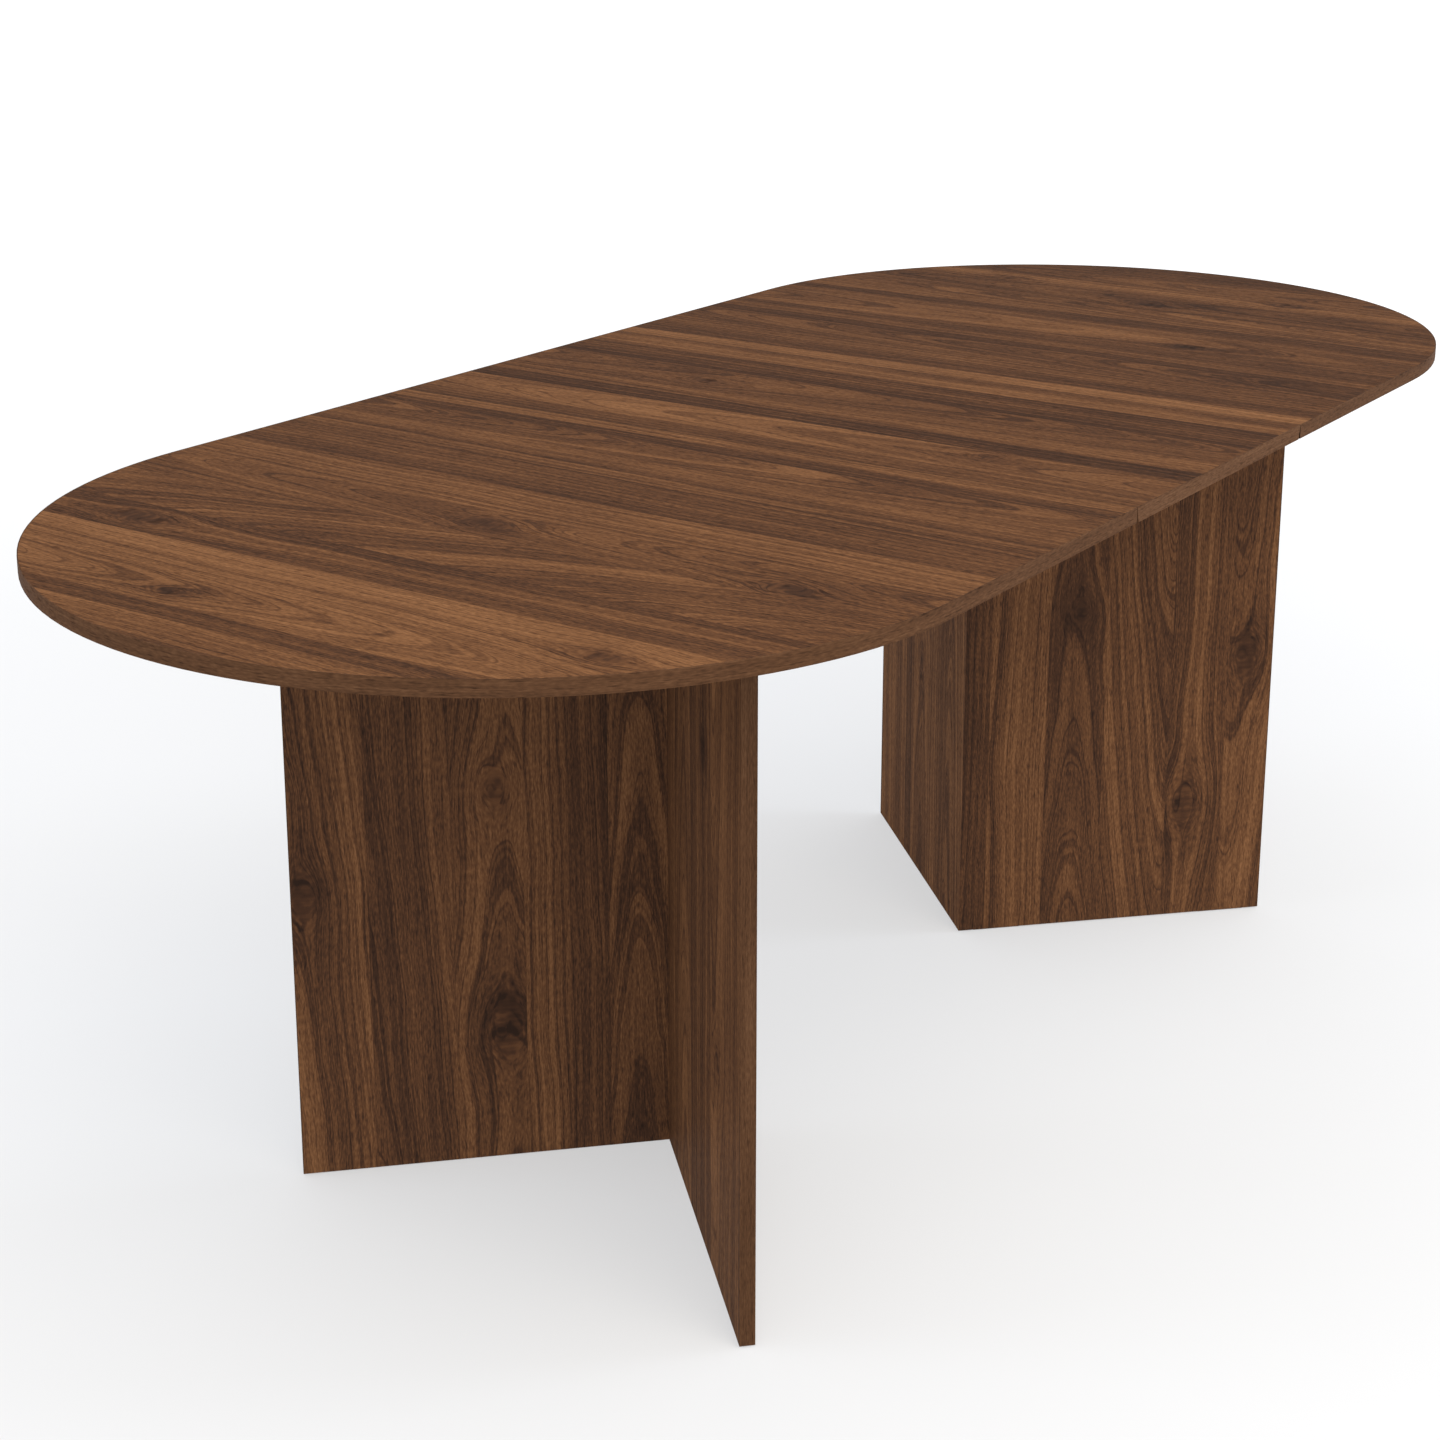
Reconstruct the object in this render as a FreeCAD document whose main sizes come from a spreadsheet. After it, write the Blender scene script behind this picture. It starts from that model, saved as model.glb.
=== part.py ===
import FreeCAD, Part
import math
import os
import re
import Sketcher

# An extending dining table: two half tops with round ends, a loose leaf between them, and two
# V-shaped bases of mitred panels. It stands on z = 0 with the leaf in, +X along the table, +Z up.

Vector = FreeCAD.Vector
Rotation = FreeCAD.Rotation
Placement = FreeCAD.Placement

X_AXIS = Vector(1, 0, 0)
Z_AXIS = Vector(0, 0, 1)
UPRIGHT = Rotation()

# Driving dimensions in millimetres, and one angle in degrees.
DIMENSIONS = {
    # Table
    "table_length": 2000,
    "table_width": 900,
    "table_height": 740,
    "leaf_length": 400,
    "board_thickness": 15,
    "band_thickness": 1,
    "joint_gap": 0.3,
    "leaf_undercut": 3.5,
    # V-shaped bases
    "panel_thickness": 15,
    "arm_length": 400,
    "arm_angle": 45,
    "apex_offset": 305,
    # Loose tongue across the mitre
    "tongue_thickness": 4,
    "tongue_depth": 5,
    "tongue_end_margin": 40,
    # Felt pads under the panels
    "felt_height": 1.5,
    "felt_width": 10,
    "felt_length": 60,
    "felt_inset": 20,
    # Angle brackets between panels and tops
    "bracket_leg": 30,
    "bracket_width": 24,
    "bracket_thickness": 2,
    "bracket_bend": 2,
    "bracket_hole_setback": 18,
    "bracket_inner_place": 110,
    "bracket_outer_place": 310,
    # Screw holes, and the room round what fits in a hole
    "screw_hole_diameter": 4,
    "countersink_diameter": 7.6,
    "fastener_clearance": 0.05,
    "drill_room": 0.4,
    # Telescopic slides
    "rail_offset": 340,
    "rail_width": 28,
    "rail_height": 16,
    "rail_wall": 1.5,
    "liner_thickness": 1.5,
    "running_clearance": 0.15,
    "channel_wall": 2,
    "channel_lip": 8,
    "channel_end_room": 20,
    "channel_screw_count": 2,
    "channel_screw_margin": 75,
    "guide_length": 50,
    "shoe_length": 50,
    "shoe_cap": 3,
    "stop_gap": 0.1,
    # Leaf saddles
    "saddle_offset": 120,
    "saddle_length": 40,
    "saddle_lip_depth": 8,
    "saddle_lip_wall": 4,
    "saddle_clearance": 0.3,
    "saddle_recess": 2,
    # Hook latches
    "latch_setback": 25,
    "latch_width": 18,
    "latch_thickness": 2.5,
    "latch_tip": 12,
    "latch_tab_depth": 9,
    "latch_play": 0.1,
    "latch_slot_radius": 4.6,
    "latch_slot_shift": 1.2,
    "latch_slot_depth": 0.5,
    "latch_offset": 60,
    "spacer_height": 4,
    "spacer_diameter": 12,
    "pivot_diameter": 6,
    "pivot_head_flats": 10,
    "pivot_head_height": 3,
    "thread_diameter": 5,
    "thread_depth": 10,
    "stud_diameter": 6,
    "stud_collar_flats": 10,
    "stud_collar_height": 3,
    "stud_reach": 2,
}

doc = FreeCAD.newDocument("extending_table")
sheet = doc.addObject("Spreadsheet::Sheet", "dims")
for row, (alias, value) in enumerate(DIMENSIONS.items(), start=1):
    sheet.set(f"A{row}", alias)
    sheet.set(f"B{row}", str(value))
    sheet.setAlias(f"B{row}", alias)
doc.recompute()


def size(alias):
    """The number that the sheet holds under an alias."""
    return float(sheet.get(alias))


def formula(words):
    """An expression in plain aliases, with each alias pointed at the sheet."""
    return re.sub(r"[a-z]+(?:_[a-z]+)+", lambda found: "dims." + found.group(), words)


def number(words):
    """The value of a formula."""
    return float(sheet.evalExpression(formula(words)))


def bind(thing, **formulas):
    """Bind properties of a document object to formulas of the sheet's aliases."""
    for name, words in formulas.items():
        thing.setExpression(name, formula(words))


# Lengths that several pieces share, as formulas
HALF_WIDTH = "table_width / 2"
END_CENTRE = "(table_length / 2 - table_width / 2)"
JOINT_FACE = "(leaf_length / 2 + joint_gap / 2)"
LEAF_HALF = "(leaf_length / 2 - joint_gap / 2)"
PANEL_HEIGHT = "(table_height - board_thickness - felt_height)"
LINER_ROOM = "(liner_thickness + running_clearance)"
CHANNEL_WIDTH = f"(rail_width + 2 * {LINER_ROOM} + 2 * channel_wall)"
CHANNEL_DEPTH = f"(rail_height + 2 * {LINER_ROOM} + 2 * channel_wall)"
CHANNEL_LENGTH = "(leaf_length / 2 + guide_length + shoe_length + channel_end_room)"
SEAT_DEPTH = f"(channel_wall + {LINER_ROOM})"
LATCH_REACH = "(2 * latch_setback + joint_gap / 2)"
LATCH_TOP = "(spacer_height + latch_play)"

# The same places as numbers, for placements
UNDERSIDE = number("table_height - board_thickness")
JOINT_X = number(JOINT_FACE)
RAIL_TOP = UNDERSIDE - number(SEAT_DEPTH)
SHOE_START = number(f"{JOINT_FACE} + guide_length + stop_gap")
CHANNEL_RUN = number(CHANNEL_LENGTH)

# Points closer than this are one point
TOUCH = 1e-6


# Helpers for sketches and bodies


def new_body(label):
    """An empty PartDesign body."""
    return doc.addObject("PartDesign::Body", label)


def new_sketch(body, role, name):
    """A sketch on one of its own body's origin planes."""
    plane = next(item for item in body.Origin.OriginFeatures if item.Role == role)
    sketch = body.newObject("Sketcher::SketchObject", name)
    sketch.AttachmentSupport = [(plane, "")]
    sketch.MapMode = "FlatFace"
    return sketch


def pin_point(sketch, geometry, point, name, across, along):
    """Fix one point of a sketch at two formulas, measured from the sketch's origin."""
    drawn = sketch.getPoint(geometry, point)
    for kind, words, start in (("DistanceX", across, drawn.x), ("DistanceY", along, drawn.y)):
        index = sketch.addConstraint(Sketcher.Constraint(kind, -1, 1, geometry, point, start))
        label = f"{name}{kind[-1]}"
        sketch.renameConstraint(index, label)
        sketch.setExpression(f"Constraints.{label}", formula(words))


def polygon_sketch(body, role, name, corners):
    """A closed outline of straight lines whose corners are pairs of formulas."""
    sketch = new_sketch(body, role, name)
    count = len(corners)
    turn = 2 * math.pi / count
    start = [Vector(math.cos(turn * i), math.sin(turn * i), 0) for i in range(count)]
    for i in range(count):
        sketch.addGeometry(Part.LineSegment(start[i], start[(i + 1) % count]), False)
    for i in range(count):
        sketch.addConstraint(Sketcher.Constraint("Coincident", i, 2, (i + 1) % count, 1))
    for i, (across, along) in enumerate(corners):
        pin_point(sketch, i, 1, f"corner{i}", across, along)
    return sketch


def round_end_sketch(body, name, side, joint_face, half_width):
    """A half top's outline: a straight joint edge, two straight sides and a half-round end."""
    sketch = new_sketch(body, "XY_Plane", name)
    centre = side * (size("table_length") - size("table_width")) / 2
    joint = side * JOINT_X
    reach = size("table_width") / 2
    lower, upper = Vector(centre, -reach, 0), Vector(centre, reach, 0)
    tip = Vector(centre + side * reach, 0, 0)
    sketch.addGeometry(Part.LineSegment(Vector(joint, reach, 0), Vector(joint, -reach, 0)), False)
    sketch.addGeometry(Part.LineSegment(Vector(joint, -reach, 0), lower), False)
    sketch.addGeometry(Part.Arc(lower, tip, upper), False)
    sketch.addGeometry(Part.LineSegment(upper, Vector(joint, reach, 0)), False)
    # An arc of a circle runs anticlockwise, so it starts at the front only on the +X side.
    first, last = (1, 2) if side > 0 else (2, 1)
    for a, a_end, b, b_end in ((0, 2, 1, 1), (1, 2, 2, first), (2, last, 3, 1), (3, 2, 0, 1)):
        sketch.addConstraint(Sketcher.Constraint("Coincident", a, a_end, b, b_end))
    pin_point(sketch, 0, 1, "back", f"{side} * {joint_face}", half_width)
    pin_point(sketch, 0, 2, "front", f"{side} * {joint_face}", f"-({half_width})")
    pin_point(sketch, 1, 2, "frontend", f"{side} * {END_CENTRE}", f"-({half_width})")
    pin_point(sketch, 3, 1, "backend", f"{side} * {END_CENTRE}", half_width)
    index = sketch.addConstraint(Sketcher.Constraint("DistanceX", -1, 1, 2, 3, centre))
    sketch.renameConstraint(index, "centre")
    sketch.setExpression("Constraints.centre", formula(f"{side} * {END_CENTRE}"))
    return sketch


def circle_sketch(body, role, name, spots, diameter):
    """Equal circles at pairs of formulas."""
    sketch = new_sketch(body, role, name)
    for i, (across, along) in enumerate(spots):
        sketch.addGeometry(Part.Circle(Vector(i, 0, 0), Z_AXIS, 1.0), False)
        pin_point(sketch, i, 3, f"centre{i}", across, along)
        index = sketch.addConstraint(Sketcher.Constraint("Diameter", i, 2.0))
        sketch.renameConstraint(index, f"bore{i}")
        sketch.setExpression(f"Constraints.bore{i}", formula(diameter))
    return sketch


def pad(body, sketch, length, symmetric=False):
    """Add material along the sketch's normal."""
    feature = body.newObject("PartDesign::Pad", f"{body.Name}_pad")
    feature.Profile = sketch
    bind(feature, Length=length)
    if symmetric:
        feature.SideType = "Symmetric"
    doc.recompute()
    return feature


def pocket(body, sketch):
    """Cut a sketch right through a body, both ways, and make sure that it took something."""
    before = body.Shape.Volume
    feature = body.newObject("PartDesign::Pocket", f"{body.Name}_pocket")
    feature.Profile = sketch
    feature.Type = "ThroughAll"
    feature.SideType = "Symmetric"
    doc.recompute()
    if body.Shape.Volume > before - TOUCH:
        raise RuntimeError(f"{body.Label}: the pocket {sketch.Label} cuts nothing")
    return feature


def round_edge(body, feature, middle, radius):
    """Round the one edge of a feature whose middle is at a place."""
    names = [
        f"Edge{number}"
        for number, edge in enumerate(feature.Shape.Edges, start=1)
        if (edge.CenterOfMass - middle).Length < TOUCH
    ]
    fillet = body.newObject("PartDesign::Fillet", f"{body.Name}_round")
    fillet.Base = (feature, names)
    bind(fillet, Radius=radius)
    doc.recompute()
    return fillet


def turned(label, profile):
    """A body of revolution about its own Z axis, from half a profile of (radius, height)."""
    body = new_body(label)
    sketch = polygon_sketch(body, "XZ_Plane", f"{label}_profile", profile)
    feature = body.newObject("PartDesign::Revolution", f"{label}_turn")
    feature.Profile = sketch
    feature.ReferenceAxis = (sketch, ["V_Axis"])
    feature.Angle = 360.0
    doc.recompute()
    return body


def add_hexagon(body, name, flats, low, thickness):
    """Add a hexagon to a turned body, so wide across its flats, up from a height."""
    corner = f"({flats} / sqrt(3))"
    sketch = polygon_sketch(body, "XY_Plane", name, [
        (corner, "0"),
        (f"{corner} / 2", f"{flats} / 2"),
        (f"-{corner} / 2", f"{flats} / 2"),
        (f"-{corner}", "0"),
        (f"-{corner} / 2", f"-{flats} / 2"),
        (f"{corner} / 2", f"-{flats} / 2"),
    ])
    sketch.setExpression("AttachmentOffset.Base.z", formula(low))
    pad(body, sketch, thickness)


def block(label, length, width, height, corner):
    """A rectangular block of three formulas, with its lowest corner at a place."""
    box = doc.addObject("Part::Box", label)
    bind(box, Length=length, Width=width, Height=height)
    box.Placement = Placement(corner, UPRIGHT)
    return box


def cut(label, base, tool):
    """One object less another."""
    result = doc.addObject("Part::Cut", label)
    result.Base = base
    result.Tool = tool
    return result


def copies(label, master, places):
    """A group of separate copies of one master, each at its own placement."""
    links = []
    for number, place in enumerate(places, start=1):
        link = doc.addObject("App::Link", f"{label}_{number}")
        link.LinkedObject = master
        link.Placement = place
        links.append(link)
    group = doc.addObject("Part::Compound", label)
    group.Links = links
    return group


def join_groups(label, groups):
    """One compound of several groups."""
    compound = doc.addObject("Part::Compound", label)
    compound.Links = groups
    return compound


# Every finished piece, by the name of its node
pieces = {}


def keep(name, thing):
    """List a finished piece under its node's name."""
    thing.Label = name
    pieces[name] = thing
    return thing


# Places

SIDES = {"left": -1, "right": 1}
ENDS = {"front": -1, "back": 1}


def arm_placement(side, end, along, inward, height):
    """A place on a base arm: along it from the outer apex, inward from its outer face, and up.

    The frame's Y points to the inside of the V, and its X runs along the arm, away from the apex
    or towards it.
    """
    angle = math.radians(size("arm_angle"))
    run = Vector(side * math.cos(angle), end * math.sin(angle), 0)
    inside = Vector(side * math.sin(angle), -end * math.cos(angle), 0)
    apex = Vector(side * size("apex_offset"), 0, 0)
    spot = apex + run * along + inside * inward + Z_AXIS * height
    heading = math.degrees(math.atan2(inside.y, inside.x)) - 90
    return Placement(spot, Rotation(Z_AXIS, heading))


def arm_hand(side, end):
    """1 where the X of arm_placement runs away from the apex, -1 where it runs towards it."""
    return -side * end


def bracket_places(side, end):
    """The two brackets of one arm, in the corner between its inner face and the top."""
    return [
        arm_placement(side, end, size(place), size("panel_thickness"), UNDERSIDE)
        for place in ("bracket_inner_place", "bracket_outer_place")
    ]


def channel_start(side):
    """The lower X end of a half's slide channels."""
    return JOINT_X if side > 0 else -JOINT_X - CHANNEL_RUN


def channel_screw_places(side, end):
    """Where screws hold one channel up to its top, at the lower face of its web."""
    margin = size("channel_screw_margin")
    count = int(size("channel_screw_count"))
    step = (CHANNEL_RUN - 2 * margin) / (count - 1)
    head = UNDERSIDE - size("channel_wall")
    first = Vector(channel_start(side) + margin, end * size("rail_offset"), head)
    return [Placement(first + X_AXIS * step * number, UPRIGHT) for number in range(count)]


def pivot_place(side):
    """Where a half's latch turns. The right one is the left one turned half round the table."""
    spot = Vector(side * (JOINT_X + size("latch_setback")), -side * size("latch_offset"), UNDERSIDE)
    return Placement(spot, Rotation(Z_AXIS, 0 if side < 0 else 180))


def stud_place(side):
    """The stud under the leaf that a half's latch catches."""
    x = side * (size("leaf_length") / 2 - size("latch_setback"))
    return Placement(Vector(x, -side * size("latch_offset"), UNDERSIDE), UPRIGHT)


def saddle_places():
    """The four saddles under the leaf, over the middle rails."""
    return [
        Placement(Vector(way * size("saddle_offset"), end * size("rail_offset"), UNDERSIDE), UPRIGHT)
        for way in SIDES.values()
        for end in ENDS.values()
    ]


# Drills

HOLE_RADIUS = "screw_hole_diameter / 2"
SINK_RADIUS = "countersink_diameter / 2"
SCREW_DEPTH = f"({SEAT_DEPTH} + drill_room)"
THREAD_RADIUS = "(thread_diameter / 2 + fastener_clearance)"
THREAD_DEPTH = "(thread_depth + drill_room)"

countersink_drill = turned("countersink_drill", [
    ("0", "0"),
    (SINK_RADIUS, "0"),
    (HOLE_RADIUS, f"{SINK_RADIUS} - {HOLE_RADIUS}"),
    (HOLE_RADIUS, SCREW_DEPTH),
    ("0", SCREW_DEPTH),
])

recess_drill = turned("recess_drill", [
    ("0", "0"),
    (SINK_RADIUS, "0"),
    (SINK_RADIUS, "saddle_recess"),
    (HOLE_RADIUS, "saddle_recess"),
    (HOLE_RADIUS, SCREW_DEPTH),
    ("0", SCREW_DEPTH),
])

thread_drill = turned("thread_drill", [
    ("0", "0"),
    (THREAD_RADIUS, "0"),
    (THREAD_RADIUS, THREAD_DEPTH),
    ("0", THREAD_DEPTH),
])


# Half tops with their bands


def half_top(name, side):
    """A half top's board, drilled for its latch pivot."""
    blank = new_body(f"{name}_blank")
    outline = round_end_sketch(
        blank,
        f"{name}_outline",
        side,
        f"({JOINT_FACE} + band_thickness)",
        f"{HALF_WIDTH} - band_thickness",
    )
    pad(blank, outline, "board_thickness")
    blank.Placement = Placement(Z_AXIS * UNDERSIDE, UPRIGHT)
    return cut(f"{name}_board", blank, copies(f"{name}_drill", thread_drill, [pivot_place(side)]))


def half_band(name, side):
    """The band that runs round a half top's long sides and round end."""
    body = new_body(f"{name}_strip")
    outer = round_end_sketch(body, f"{name}_outer", side, JOINT_FACE, HALF_WIDTH)
    pad(body, outer, "board_thickness")
    inner = round_end_sketch(
        body,
        f"{name}_inner",
        side,
        f"({JOINT_FACE} - band_thickness)",
        f"{HALF_WIDTH} - band_thickness",
    )
    pocket(body, inner)
    body.Placement = Placement(Z_AXIS * UNDERSIDE, UPRIGHT)
    return body


def joint_band(name, side):
    """The straight band on a half top's joint edge."""
    band = size("band_thickness")
    x = JOINT_X if side > 0 else -JOINT_X - band
    corner = Vector(x, band - size("table_width") / 2, UNDERSIDE)
    width = "table_width - 2 * band_thickness"
    return block(f"{name}_strip", "band_thickness", width, "board_thickness", corner)


for half_name, half_side in SIDES.items():
    keep(f"top_{half_name}", half_top(f"top_{half_name}", half_side))
    keep(f"top_{half_name}_edge_band", half_band(f"edge_{half_name}", half_side))
    keep(f"top_{half_name}_joint_band", joint_band(f"joint_{half_name}", half_side))


# Leaf, undercut at both joints so that it lifts out freely


def leaf_section(body, name, upper, lower):
    """The leaf's section: wider at its top face than at its underside."""
    return polygon_sketch(body, "XZ_Plane", name, [
        (f"-{lower}", "0"),
        (lower, "0"),
        (upper, "board_thickness"),
        (f"-{upper}", "board_thickness"),
    ])


def leaf_board():
    """The leaf's board, drilled for its studs."""
    core = f"({LEAF_HALF} - band_thickness)"
    blank = new_body("leaf_blank")
    section = leaf_section(blank, "leaf_profile", core, f"({core} - leaf_undercut)")
    pad(blank, section, "table_width - 2 * band_thickness", symmetric=True)
    blank.Placement = Placement(Z_AXIS * UNDERSIDE, UPRIGHT)
    drills = copies("leaf_drill", thread_drill, [stud_place(side) for side in SIDES.values()])
    return cut("leaf_board", blank, drills)


def leaf_end_band():
    """The band on the leaf's front or back edge, as wide as the leaf with its joint bands."""
    body = new_body("leaf_end_strip")
    section = leaf_section(body, "leaf_end_profile", LEAF_HALF, f"({LEAF_HALF} - leaf_undercut)")
    pad(body, section, "band_thickness", symmetric=True)
    return body


def leaf_joint_band():
    """The slanting band on one of the leaf's joint edges."""
    inner = f"({LEAF_HALF} - band_thickness)"
    body = new_body("leaf_joint_strip")
    section = polygon_sketch(body, "XZ_Plane", "leaf_joint_profile", [
        (f"{inner} - leaf_undercut", "0"),
        (f"{LEAF_HALF} - leaf_undercut", "0"),
        (LEAF_HALF, "board_thickness"),
        (inner, "board_thickness"),
    ])
    pad(body, section, "table_width - 2 * band_thickness", symmetric=True)
    return body


leaf_edge = (size("table_width") - size("band_thickness")) / 2
keep("leaf", leaf_board())
keep("leaf_edge_bands", copies("leaf_edge_strip", leaf_end_band(), [
    Placement(Vector(0, end * leaf_edge, UNDERSIDE), UPRIGHT) for end in ENDS.values()
]))
keep("leaf_joint_bands", copies("leaf_joint_strips", leaf_joint_band(), [
    Placement(Z_AXIS * UNDERSIDE, Rotation(Z_AXIS, heading)) for heading in (0, 180)
]))


# V-shaped bases

TONGUE_HEIGHT = f"({PANEL_HEIGHT} - 2 * tongue_end_margin)"


def mitre_block(name, side, clearance):
    """The loose tongue across a base's mitre, which lies in the plane y = 0, or its groove."""
    sine = math.sin(math.radians(size("arm_angle")))
    mitre_middle = size("panel_thickness") / sine / 2
    x = side * (size("apex_offset") + mitre_middle + size("tongue_depth") / 2)
    room = size(clearance) if clearance else 0
    extra = f" + 2 * {clearance}" if clearance else ""
    corner = Vector(
        x - size("tongue_thickness") / 2 - room,
        -size("tongue_depth") - room,
        size("felt_height") + size("tongue_end_margin") - room,
    )
    return block(
        name,
        f"tongue_thickness{extra}",
        f"2 * tongue_depth{extra}",
        f"{TONGUE_HEIGHT}{extra}",
        corner,
    )


def base_panel(name, side, end):
    """One upright panel, mitred at the apex and grooved for the tongue."""
    hand = arm_hand(side, end)
    blank = new_body(f"{name}_blank")
    run = f"{hand} * (arm_length - band_thickness)"
    outline = polygon_sketch(blank, "XY_Plane", f"{name}_outline", [
        ("0", "0"),
        (run, "0"),
        (run, "panel_thickness"),
        (f"{hand} * panel_thickness / tan(arm_angle * 1 deg)", "panel_thickness"),
    ])
    pad(blank, outline, PANEL_HEIGHT)
    blank.Placement = arm_placement(side, end, 0, 0, size("felt_height"))
    return cut(f"{name}_board", blank, mitre_block(f"{name}_groove", side, "fastener_clearance"))


def arm_strip(name, side, end):
    """The band on the outer end of one arm."""
    strip = block(name, "band_thickness", "panel_thickness", PANEL_HEIGHT, Vector())
    end_of_core = size("arm_length") - size("band_thickness")
    shift = 0 if arm_hand(side, end) > 0 else -size("band_thickness")
    place = arm_placement(side, end, end_of_core, 0, size("felt_height"))
    strip.Placement = place * Placement(X_AXIS * shift, UPRIGHT)
    return strip


def felt_places(side, end):
    """The felt pads of one arm, near its two ends and in the middle of its thickness."""
    reach = size("felt_inset") + size("felt_length") / 2
    inward = size("panel_thickness") / 2
    return [
        arm_placement(side, end, along, inward, 0)
        for along in (reach, size("arm_length") - reach)
    ]


def angle_bracket():
    """A bent steel angle with a hole in each leg, its outer corner at the origin."""
    body = new_body("angle_bracket")
    section = polygon_sketch(body, "YZ_Plane", "angle_profile", [
        ("0", "0"),
        ("bracket_leg", "0"),
        ("bracket_leg", "-bracket_thickness"),
        ("bracket_thickness", "-bracket_thickness"),
        ("bracket_thickness", "-bracket_leg"),
        ("0", "-bracket_leg"),
    ])
    bar = pad(body, section, "bracket_width", symmetric=True)
    wall = size("bracket_thickness")
    bend = round_edge(body, bar, Vector(0, wall, -wall), "bracket_bend")
    round_edge(body, bend, Vector(), "bracket_bend + bracket_thickness")
    for role, along in (("XY_Plane", "bracket_hole_setback"), ("XZ_Plane", "-bracket_hole_setback")):
        hole = circle_sketch(body, role, f"angle_{role}", [("0", along)], "screw_hole_diameter")
        pocket(body, hole)
    return body


bracket = angle_bracket()
felt_pad = block(
    "felt_pad",
    "felt_length",
    "felt_width",
    "felt_height",
    Vector(-size("felt_length") / 2, -size("felt_width") / 2, 0),
)
# The group keeps the pad's own offset, so that its copies turn about the pad's middle.
felt_group = join_groups("felt_master", [felt_pad])

for base_name, base_side in SIDES.items():
    label = f"base_{base_name}"
    brackets = []
    pads = []
    strips = []
    for end_name, base_end in ENDS.items():
        keep(f"{label}_{end_name}_panel", base_panel(f"{label}_{end_name}", base_side, base_end))
        brackets += bracket_places(base_side, base_end)
        pads += felt_places(base_side, base_end)
        strips.append(arm_strip(f"{label}_{end_name}_strip", base_side, base_end))
    keep(f"{label}_mitre_tongue", mitre_block(f"{label}_tongue", base_side, None))
    keep(f"{label}_end_bands", join_groups(f"{label}_strips", strips))
    keep(f"{label}_brackets", copies(f"{label}_bracket", bracket, brackets))
    keep(f"{label}_felt_pads", copies(f"{label}_felt", felt_group, pads))


# Telescopic slides


def lipped_section(body, name, top, width, depth, wall, lip):
    """A C-section that opens downwards, with a lip turned in at each lower edge."""
    half = f"{width} / 2"
    side_in = f"{half} - {wall}"
    lip_in = f"{half} - {wall} - {lip}"
    low = f"-({top} + {depth})"
    lip_top = f"-({top} + {depth} - {wall})"
    web = f"-({top} + {wall})"
    right = [
        (half, f"-({top})"),
        (half, low),
        (lip_in, low),
        (lip_in, lip_top),
        (side_in, lip_top),
        (side_in, web),
    ]
    left = [(f"-({across})", along) for across, along in reversed(right)]
    return polygon_sketch(body, "YZ_Plane", name, right + left)


def slide_channel(name, side, end):
    """The steel channel under a half top, with countersunk screw holes."""
    blank = new_body(f"{name}_blank")
    section = lipped_section(
        blank,
        f"{name}_profile",
        "0",
        CHANNEL_WIDTH,
        CHANNEL_DEPTH,
        "channel_wall",
        "channel_lip",
    )
    pad(blank, section, CHANNEL_LENGTH)
    corner = Vector(channel_start(side), end * size("rail_offset"), UNDERSIDE)
    blank.Placement = Placement(corner, UPRIGHT)
    drills = copies(f"{name}_drill", countersink_drill, channel_screw_places(side, end))
    return cut(f"{name}_section", blank, drills)


def mouth_guide():
    """The nylon guide that lines a channel's mouth and carries the rail."""
    body = new_body("mouth_guide")
    section = lipped_section(
        body,
        "guide_profile",
        "channel_wall",
        f"({CHANNEL_WIDTH} - 2 * channel_wall)",
        f"({CHANNEL_DEPTH} - 2 * channel_wall)",
        "liner_thickness",
        "(channel_lip - liner_thickness)",
    )
    pad(body, section, "guide_length")
    return body


def middle_rail(name, end):
    """A steel box rail that runs in the channels of both halves."""
    length = "(leaf_length + joint_gap + 2 * (guide_length + stop_gap + shoe_length - shoe_cap))"
    half_length = SHOE_START + size("shoe_length") - size("shoe_cap")
    wall = size("rail_wall")
    low = RAIL_TOP - size("rail_height")
    corner = Vector(-half_length, end * size("rail_offset") - size("rail_width") / 2, low)
    tube = block(f"{name}_tube", length, "rail_width", "rail_height", corner)
    bore = block(
        f"{name}_bore",
        length,
        "rail_width - 2 * rail_wall",
        "rail_height - 2 * rail_wall",
        corner + Vector(0, wall, wall),
    )
    return cut(f"{name}_section", tube, bore)


def rail_shoe():
    """The nylon shoe on a rail's end: a sleeve with a cap, which stops against the guide."""
    liner = size("liner_thickness")
    half = size("rail_width") / 2
    shell = block(
        "shoe_shell",
        "shoe_length",
        "rail_width + 2 * liner_thickness",
        "rail_height + 2 * liner_thickness",
        Vector(0, -half - liner, -size("rail_height") - liner),
    )
    bore = block(
        "shoe_bore",
        "shoe_length - shoe_cap",
        "rail_width",
        "rail_height",
        Vector(0, -half, -size("rail_height")),
    )
    return cut("rail_shoe", shell, bore)


guide = mouth_guide()
shoe = rail_shoe()

for half_name, half_side in SIDES.items():
    for end_name, slide_end in ENDS.items():
        channel_name = f"channel_{half_name}_{end_name}"
        keep(f"slide_{channel_name}", slide_channel(channel_name, half_side, slide_end))
    guide_x = JOINT_X if half_side > 0 else -JOINT_X - size("guide_length")
    keep(f"slide_{half_name}_guides", copies(f"guide_{half_name}", guide, [
        Placement(Vector(guide_x, end * size("rail_offset"), UNDERSIDE), UPRIGHT)
        for end in ENDS.values()
    ]))

for end_name, slide_end in ENDS.items():
    keep(f"middle_rail_{end_name}", middle_rail(f"rail_{end_name}", slide_end))
keep("middle_rail_shoes", copies("shoes", shoe, [
    Placement(
        Vector(way * SHOE_START, end * size("rail_offset"), RAIL_TOP),
        Rotation(Z_AXIS, 0 if way > 0 else 180),
    )
    for way in SIDES.values()
    for end in ENDS.values()
]))


# Leaf saddles


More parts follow.
